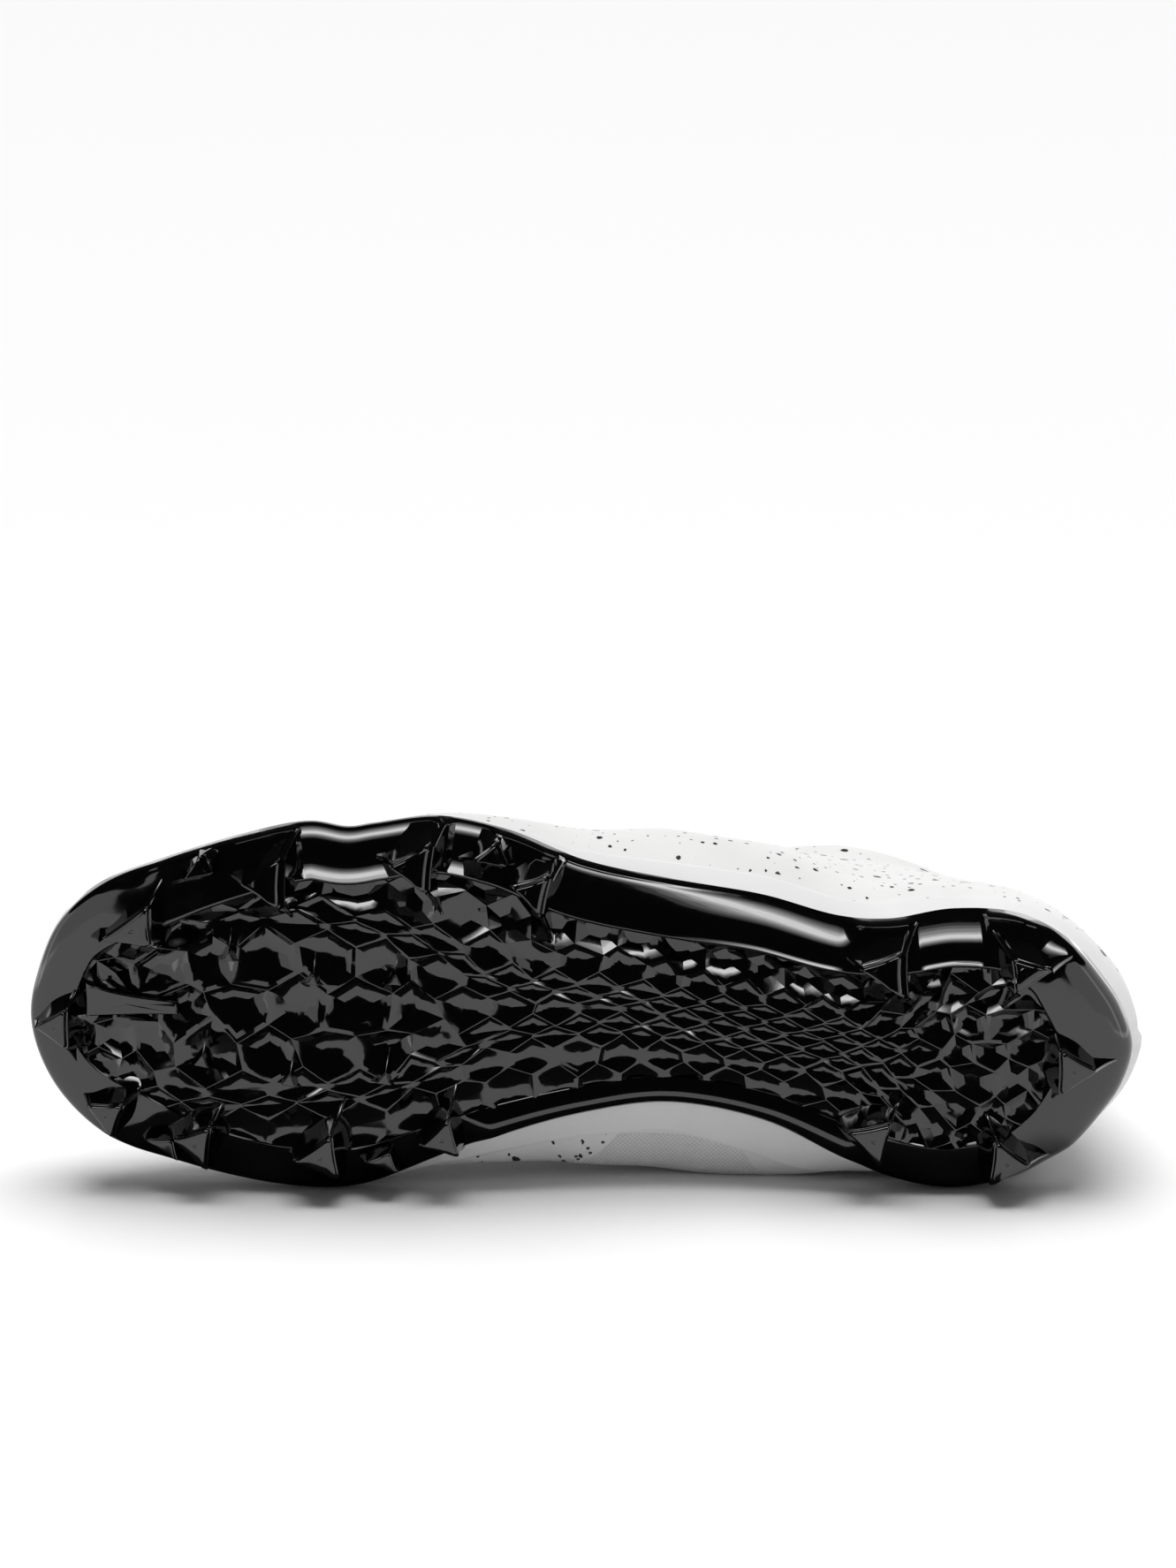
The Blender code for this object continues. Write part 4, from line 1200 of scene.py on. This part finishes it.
# Overlays laid on the upper: sheets with soft edges that sink into the skin
overlays = {
    "edgeSoft": 0.8,
    "sink": 0.35,
    "edgeRows": (0.0, 0.25, 0.5, 0.85),              # rows close to an edge, in mm
    "leastWide": 2.2,                                # a narrower strip has them closer together
    "endWays": (0.0, 0.0006, 0.0014, 0.0026),        # ways close to an open end
    "endGap": 0.004,
    "rand": {"thick": 0.7, "foot": 0.004, "columns": 260, "heights": table("way high", (
        (0, 13), (0.12, 12), (0.25, 8), (0.4, 6.5), (0.6, 6), (0.8, 9), (1, 15), (1.2, 9), (1.4, 5.0),
        (1.52, 4.3), (1.62, 5.0), (1.72, 7.5), (1.88, 12), (2, 13),
    ))},
    "archMesh": {
        "thick": 0.3, "ways": (1.528, 1.634), "ups": (0.040, 0.20), "widen": 2.0, "columns": 90, "rows": 26,
    },
    "eyestay": {"thick": 0.8, "wide": 13.0, "from": 108.0, "top": 0.998, "columns": 260},
}


def makeOverlay(name, ways, low, high, thick, finish, closed=False, rows=8, widen=0.0):
    length = ribLength(ways) * (high - low)
    # shares across the strip, close together at its two edges
    near = np.array(overlays["edgeRows"])[:, None] / np.maximum(length, overlays["leastWide"])
    inner = near[-1:] + (1 - 2 * near[-1:]) * np.linspace(0, 1, rows)[1:-1, None]
    run = runLength(wallAt(ways, 0.5 * (low + high)))
    fromEnd = np.full(len(ways), np.inf) if closed else np.minimum(run, run[-1] - run)
    grid = []
    for share in np.concatenate([near, inner, 1 - near[::-1]]):
        fromEdge = np.minimum(np.minimum(share, 1 - share) * length, fromEnd)
        bulge = np.sqrt(np.clip(1 - (1 - np.clip(fromEdge / overlays["edgeSoft"], 0, 1)) ** 2, 0, 1))
        spread = ways + (ways - ways.mean()) * widen * share
        lift = (thick + overlays["sink"]) * bulge - overlays["sink"]
        grid.append(skinAt(spread, low + (high - low) * share, lift))
    makeSheet(name, grid, finish, "white_upper", 50.0, around=closed)


def openWays(first, final, count):
    # ways along an open strip, with a few more close to both ends
    near = np.array(overlays["endWays"])
    inner = np.linspace(first + overlays["endGap"], final - overlays["endGap"], count)
    return np.concatenate([first + near, inner, final - near[::-1]])


def makeOverlays():
    rand, panel, stay = (overlays[name] for name in ("rand", "archMesh", "eyestay"))
    ways = waysRound(rand["columns"])
    high = curveAt(rand["heights"], ways) / ribLength(ways)
    makeOverlay("randStrip", ways, rand["foot"], high, rand["thick"], finishes["rand"], closed=True)
    ways = openWays(*panel["ways"], panel["columns"])
    makeOverlay("archMesh", ways, *panel["ups"], panel["thick"], finishes["mesh"],
                rows=panel["rows"], widen=panel["widen"])
    start = topWay(stay["from"])
    ways = openWays(start, 2 - start, stay["columns"])
    low = 1 - stay["wide"] / ribLength(ways)
    makeOverlay("eyestay", ways, low, stay["top"], stay["thick"], finishes["rand"])


makeOverlays()
print("overlays made")


# Stitches along the eyestay, and punched holes beside the arch's mesh: shallow discs coloured dark, painted
# shade for the holes' insides
stitch = {
    "long": 2.3,
    "gap": 1.1,
    "half": 0.32,
    "inset": 1.7,
    "rings": ((0, 0.2), (0.15, 0.8), (0.5, 1.0), (0.85, 0.8), (1, 0.2)),     # share of its length, size
    "section": (0.8, 0.3),                                                   # height, lift
    "sides": 6,
    "walk": 900,             # points of the line they follow
}
holes = {
    "ups": (0.052, 0.18),
    "count": 7,
    "rows": (0.006, 0.013),
    "sides": 12,
    # reach, height
    "rings": ((0.525, -0.05), (0.462, 0.05), (0.399, 0.03), (0.357, 0.02), (0.0084, 0.015)),
}


def makeStitches():
    stay = overlays["eyestay"]
    start = topWay(stay["from"]) + overlays["endGap"]
    ways = np.linspace(start, 2 - start, stitch["walk"])
    ups = 1 - (stay["wide"] - stitch["inset"]) / ribLength(ways)
    line = skinAt(ways, ups, stay["thick"])
    normal = wallNormal(ways, ups)
    run = runLength(line)
    place, scale = np.array(stitch["rings"]).T
    size = stitch["half"] * scale[:, None]
    turns = turnsOf(stitch["sides"])[None, :, None]
    high, lift = stitch["section"]
    lump = Lump()
    for first in np.arange(1.0, run[-1] - stitch["long"], stitch["long"] + stitch["gap"]):
        at = first + stitch["long"] * place
        middle, up = (alongLine(at, run, rows) for rows in (line, normal))
        beside = np.cross(up, unit(middle[-1] - middle[0]))
        rings = middle[:, None] + np.cos(turns) * (beside * size)[:, None]
        lump.addRings(rings + (high * np.sin(turns) + lift) * (up * size)[:, None])
    lump.makePiece("eyestayStitches", finishes["thread"], "white_upper", 60.0)


def makeHoles():
    panel = overlays["archMesh"]
    first, final = panel["ways"]
    lump = Lump()
    for row, ahead in enumerate(holes["rows"]):
        for number in range(holes["count"]):
            up = np.interp((number + 0.5 * row) / holes["count"], (0, 1), holes["ups"])
            widened = panel["widen"] * np.interp(up, panel["ups"], (0, 1))
            way = np.array([first - (final - first) / 2 * widened - ahead])
            normal = wallNormal(way, up)[0]
            along = unit(np.cross(normal, (0.0, 0.0, 1.0)))
            lump.addCircles(skinAt(way, up)[0], along, normal, holes["rings"], holes["sides"])
    lump.makePiece("archHoles", finishes["hole"], "white_upper", 40.0)


makeStitches()
makeHoles()
print("stitches and holes made")


# Instep: the surface over the throat that tongue and laces follow
instep = {
    "slopeFrom": 0.94,       # levels of the wall that its slope and length are taken from
    "lengthFrom": 0.9,
    "pull": 0.36,            # how far the bridge keeps to that slope
    "probe": (1.0, 0.03),    # steps along and across for its normal
}


def instepBase(station, across):
    share = topWay(station)
    points = np.zeros((len(share), 3))
    half = last["throatHalf"]
    ends = []
    for which in (1, -1):
        way = share if which > 0 else 2 - share
        edge = wallAt(way, 1.0)
        ends += [edge, unit(edge - wallAt(way, instep["slopeFrom"]))]
        length = np.linalg.norm(edge - wallAt(way, instep["lengthFrom"]), axis=1) / (1 - instep["lengthFrom"])
        beyond = np.clip((across * which - half) / (1 - half), 0, 1)
        onWall = across * which >= half
        points[onWall] = wallAt(way, 1 - beyond * last["underlap"] / length)[onWall]
    first, firstSlope, final, finalSlope = ends
    t = np.clip((half - across) / (2 * half), 0, 1)[:, None]
    pull = np.linalg.norm(final - first, axis=1)[:, None] * instep["pull"]
    bridge = (1 - t) ** 3 * first + 3 * (1 - t) ** 2 * t * (first + firstSlope * pull)
    bridge = bridge + 3 * (1 - t) * t ** 2 * (final + finalSlope * pull) + t ** 3 * final
    over = np.abs(across) < half
    points[over] = bridge[over]
    return points


def instepPoint(station, across, lift):
    station = np.atleast_1d(np.asarray(station, float))
    across = np.broadcast_to(np.asarray(across, float), station.shape)
    lift = np.broadcast_to(np.asarray(lift, float), station.shape)
    onward, aside = instep["probe"]
    along = instepBase(station + onward, across) - instepBase(station - onward, across)
    ahead, behind = (instepBase(station, np.clip(across + step, -1, 1)) for step in (aside, -aside))
    return instepBase(station, across) + unit(np.cross(along, ahead - behind)) * lift[:, None]


# Tongue: padded leaf under both sides of the throat
tongue = {
    "front": 195.5,
    "back": 118.0,
    "steps": 34,
    "columns": 33,
    "gap": 2.9,                      # below the instep surface
    "thick": 3.5,
    "under": (4.4, 3.0, 1.5),        # steps on beyond the front of the throat, under the vamp
    "wings": (0.80, 0.96, 0.96, 0.58),
    # the free top: rise, squeeze
    "free": ((0.2, 0.9), (0.4, 0.80), (0.6, 0.78), (0.8, 0.77), (0.93, 0.745), (1.0, 0.71)),
    "top": (-15.0, 0.0, 13.0),
    "lip": 0.07,
}


def makeTongue():
    stations = np.linspace(tongue["front"], tongue["back"], tongue["steps"])
    ends = np.linspace(0, 1, len(tongue["wings"]))
    wings = np.interp(np.linspace(0, 1, len(stations)), ends, tongue["wings"])
    axis = axisAt(tongue["back"])
    top = np.array(tongue["top"])
    sweep = np.linspace(1, -1, tongue["columns"])
    soft = np.sqrt(np.clip(1 - np.abs(sweep) ** 8, 0, 1))        # rounded edges
    skins = []
    for face in (-0.5, 0.5):
        level = -tongue["gap"] - tongue["thick"] * (0.5 + face * soft)
        rows = []
        for station, wing in zip(stations, wings):
            rows.append(instepPoint(np.full_like(sweep, station), sweep * wing, level))
        highest = rows[-1]
        for rise, squeeze in tongue["free"]:
            row = highest + top * rise
            row[:, 1] = axis + (row[:, 1] - axis) * squeeze
            rows.append(row)
        forward = rows[0] - rows[1]
        skins.append([rows[0] + forward * step for step in tongue["under"]] + rows)
    outer, inner = skins
    closing = 0.5 * (outer[-1] + inner[-1]) + top * tongue["lip"]
    grid = outer + [closing] + inner[::-1]
    makeSheet("tongueLeaf", grid, finishes["tongue"], "white_tongue", 45.0, ("tongue",), around=False)


makeTongue()
print("tongue made")


# Laces: flat strands that cross over the throat and go down into their eyelets
lace = {
    "stations": (183, 170, 157, 144, 131, 118),
    "inset": 6.5,
    "wide": 6.0,
    "thick": 1.5,
    "corners": (0.6, 0.7),   # how square its section is, across and through
    "lift": 1.7,
    "hump": 1.5,             # upper strand rises this much where two cross
    "humpHalf": 0.14,
    "span": 42.0,            # usual length of a strand
    "dive": (2.9, 3.2),      # depth of its ends in the eyelets, over this length
    "pinch": (0.55, 5.0),    # width where it goes through the hole, and length until it is full
    "steps": 40,
    "section": 12,
}
eyelet = {
    "lift": 0.9,
    "sides": 24,
    # reach, height
    "rings": ((0.1, -1.2), (1.7, -1.0), (1.8, 0.1), (2.2, 0.55), (2.6, 0.44), (3.0, 0.1), (3.1, -0.6)),
}


def addStrand(lump, first, final, crossing):
    t = np.linspace(0, 1, lace["steps"])
    station, across = (start + (end - start) * t for start, end in zip(first, final))
    fromEnd = np.minimum(t, 1 - t) * lace["span"]
    deep, over = lace["dive"]
    lift = lace["lift"] - deep * (1 - smoothStep(0.0, over, fromEnd))
    lift = lift + crossing * hump(t - 0.5, lace["humpHalf"])
    middle = instepPoint(station, across, lift)
    above = instepPoint(station, across, lift + 1.0) - middle
    along = unit(np.gradient(middle, axis=0))
    beside = unit(np.cross(above, along))
    above = np.cross(along, beside)
    least, full = lace["pinch"]
    pinch = least + (1 - least) * smoothStep(0.0, full, fromEnd)
    wide, high = (np.sign(part) * np.abs(part) ** square for part, square in zip(
        (np.cos(turnsOf(lace["section"])), np.sin(turnsOf(lace["section"]))), lace["corners"]))
    spread = beside[:, None] * (wide * lace["wide"] / 2 * pinch[:, None])[..., None]
    lump.addRings(middle[:, None] + spread + above[:, None] * (high * lace["thick"] / 2)[:, None])


def makeLaces():
    stations = lace["stations"]
    seat = last["throatHalf"] + (1 - last["throatHalf"]) * lace["inset"] / last["underlap"]
    strands = Lump()
    for low, high in zip(stations, stations[1:]):
        addStrand(strands, (low, seat), (high, -seat), 0.0)
        addStrand(strands, (low, -seat), (high, seat), lace["hump"])
    addStrand(strands, (stations[0], seat), (stations[0], -seat), 0.0)
    strands.makePiece("laceStrands", finishes["lace"], "white_lace", 50.0, ("laces",))
    rings = Lump()
    lift = eyelet["lift"]
    for station in stations:
        for across in (seat, -seat):
            middle = instepPoint(station, across, lift)[0]
            up = instepPoint(station, across, lift + 1.0)[0] - middle
            along = instepPoint(station + 1, across, lift)[0] - middle
            rings.addCircles(middle, unit(along - up * (along @ up)), up, eyelet["rings"], eyelet["sides"])
    rings.makePiece("eyeletRings", finishes["rand"], "white_upper", 40.0)


makeLaces()
print("laces and eyelets made")


# Insole: a thin shaped pad that fills the bottom of the shell
insole = {
    "top": 6.8,              # its face above the plate's underside
    "gap": 0.25,
    "cup": 1.6,              # rise of its edge
    "edgeAt": 1.2,           # how many rises up the lining its edge is taken from
    "columns": 150,          # on each side
    "liningTo": 0.4,         # the lining is followed up to this level, in so many steps
    "liningSteps": 24,
    # share of the way in to the spine, and rises
    "rows": (
        (1.0, 0.0), (0.7, 0.0), (0.4, 0.0), (0.15, 0.2), (0.05, 0.7), (0.0, 1.3), (0.0, 1.0), (0.01, 0.5),
        (0.03, 0.2),
    ),
}


def makeInsole():
    ways = waysRound(insole["columns"])
    inset = last["wall"] + insole["gap"]
    ups = np.linspace(0.0, insole["liningTo"], insole["liningSteps"])
    lining = [skinAt(ways, up) - wallNormal(ways, up) * inset for up in ups]
    edge = ribFoot(ways)[0]
    levels = sideAt("underside", edge[:, 0]) + insole["top"] + insole["edgeAt"] * insole["cup"]
    ribLines = np.stack(lining, axis=1)
    places = [alongLine([level], rib[:, 2], rib[:, :2]) for level, rib in zip(levels, ribLines)]
    start = np.concatenate(places)
    spine = spineAt(unwrap(ways)[0])
    rows = []
    for step, raised in insole["rows"]:
        rows.append(onPlate(start + (spine - start) * step, insole["top"] + raised * insole["cup"]))
    makeSheet("insolePad", rows, finishes["insole"], "grey_insole", 50.0, ("insole",))


makeInsole()
print("insole made")


# Stage: white floor, a wide sun for matt surfaces, soft boxes that gloss sees, and the photograph's camera
stage = {
    "floor": (-7.0, -0.58, 7.0, 9.0),
    "shadeSheet": (-0.136, -0.108, 0.112, 0.060),       # painted shade: dark sheet under and before the shoe that only gloss sees, darkening the floor in reflections
    "shadeSheetHigh": 0.0004,
    "sun": {"strength": 3.2, "spread": 55.0, "tilt": -8.0, "high": 1.5},
    "fill": 0.22,            # soft light from all round, on matt surfaces
    "dark": 0.012,           # what gloss sees beyond the floor and the lit panels
    "softboxAt": {"elevation": 68.0, "away": 1.3, "apart": 0.004, "long": 1.7},
    "softboxes": ((0.95, 0.5), (0.72, 0.9), (0.52, 1.5), (0.34, 2.4), (0.18, 3.6)),     # width, brightness
    "cards": {"bright": 0.9, "away": 0.9, "high": 0.42, "wide": 0.75, "middle": 0.13},
    "cardsAt": (-142, -97, -60, 60, 97, 142, 180),       # degrees round from the camera
    "lens": 120.0,
    "sensor": 36.0,
    "elevation": 15.0,
    "distance": 1.3705,
    "target": (0.0003, -0.0545, 0.0456),
    "aimAbove": 2.685,
}


def layCloth(name, box, height, finish, strength, distance):
    low, front, high, back = box
    mesh = bpy.data.meshes.new(name)
    corners = [(x, y, height) for x, y in ((low, front), (high, front), (high, back), (low, back))]
    mesh.from_pydata(corners, [], [(0, 1, 2, 3)])
    finish.bump(finish.noise(900.0, 2.0), strength, distance)
    mesh.materials.append(finish.material)
    return addObject(name, mesh)


def makeFloor():
    pale = Finish("paleFloor", (0.88, 0.88, 0.88), 0.7)
    floor = layCloth("studioFloor", stage["floor"], 0.0, pale, 0.05, 0.05)
    # painted shade: a dark sheet that only reflections see, standing in for the floor's shade under and
    # before the shoe
    dark = Finish("paintedShadeSheet", (0.01, 0.01, 0.01), 0.9)
    shadeSheet = layCloth("glossShadeSheet", stage["shadeSheet"], stage["shadeSheetHigh"], dark, 0.1, 0.1)
    for kind in ("camera", "diffuse", "transmission", "volume_scatter", "shadow"):
        setattr(shadeSheet, "visible_" + kind, False)


def fromTarget(elevation, away):
    lift = math.radians(elevation)
    return Vector(stage["target"]) + Vector((0.0, -math.cos(lift), math.sin(lift))) * away


def addPanel(name, size, bright, place, turn):
    # a lit rectangle that shows only in gloss
    panel = addObject(name, bpy.data.lights.new(name, "AREA"))
    panel.data.shape = "RECTANGLE"
    panel.data.size, panel.data.size_y = size
    panel.data.energy = bright * math.pi * size[0] * size[1]
    panel.location = place
    panel.rotation_euler = turn
    panel.visible_diffuse = False
    panel.visible_camera = False


def makeLights():
    sun = addObject("wideSun", bpy.data.lights.new("wideSun", "SUN"))
    sun.data.energy = stage["sun"]["strength"]
    sun.data.angle = math.radians(stage["sun"]["spread"])
    sun.rotation_euler = (math.radians(stage["sun"]["tilt"]), 0.0, 0.0)
    sun.location = (0.0, 0.0, stage["sun"]["high"])
    sun.visible_glossy = False
    box = stage["softboxAt"]
    turn = (math.radians(90 - box["elevation"]), 0, 0)
    for number, (wide, bright) in enumerate(stage["softboxes"]):
        place = fromTarget(box["elevation"], box["away"] - box["apart"] * number)
        addPanel("softbox%d" % number, (box["long"], wide), bright, place, turn)
    card = stage["cards"]
    for azimuth in stage["cardsAt"]:
        around = math.radians(azimuth)
        aside, behind = card["away"] * math.sin(around), card["away"] * math.cos(around)
        place = (aside, stage["target"][1] - behind, card["middle"])
        turn = (math.radians(90), 0, around)
        addPanel("lowCard%d" % (azimuth % 360), (card["wide"], card["high"]), card["bright"], place, turn)


def makeWorld():
    world = bpy.data.worlds.new("studioWorld")
    world.use_nodes = True
    nodes, join = world.node_tree.nodes, world.node_tree.links.new
    ray = nodes.new("ShaderNodeLightPath")

    def even(sky, strength):
        sky.inputs["Color"].default_value = (1.0, 1.0, 1.0, 1.0)
        sky.inputs["Strength"].default_value = strength
        return sky.outputs["Background"]

    shader = even(nodes["Background"], stage["fill"])
    for kind, strength in (("Is Glossy Ray", stage["dark"]), ("Is Camera Ray", 1.0)):
        mix = nodes.new("ShaderNodeMixShader")
        join(ray.outputs[kind], mix.inputs["Fac"])
        join(shader, mix.inputs[1])
        join(even(nodes.new("ShaderNodeBackground"), strength), mix.inputs[2])
        shader = mix.outputs["Shader"]
    join(shader, nodes["World Output"].inputs["Surface"])
    bpy.context.scene.world = world


def makeCamera():
    camera = addObject("photoCamera", bpy.data.cameras.new("photoCamera"))
    camera.data.lens = stage["lens"]
    camera.data.sensor_width = stage["sensor"]
    camera.location = fromTarget(stage["elevation"], stage["distance"])
    camera.rotation_euler = (math.radians(90.0 - stage["elevation"] + stage["aimAbove"]), 0.0, 0.0)
    bpy.context.scene.camera = camera
    bpy.context.scene.view_settings.view_transform = "Standard"


makeFloor()
makeLights()
makeWorld()
makeCamera()
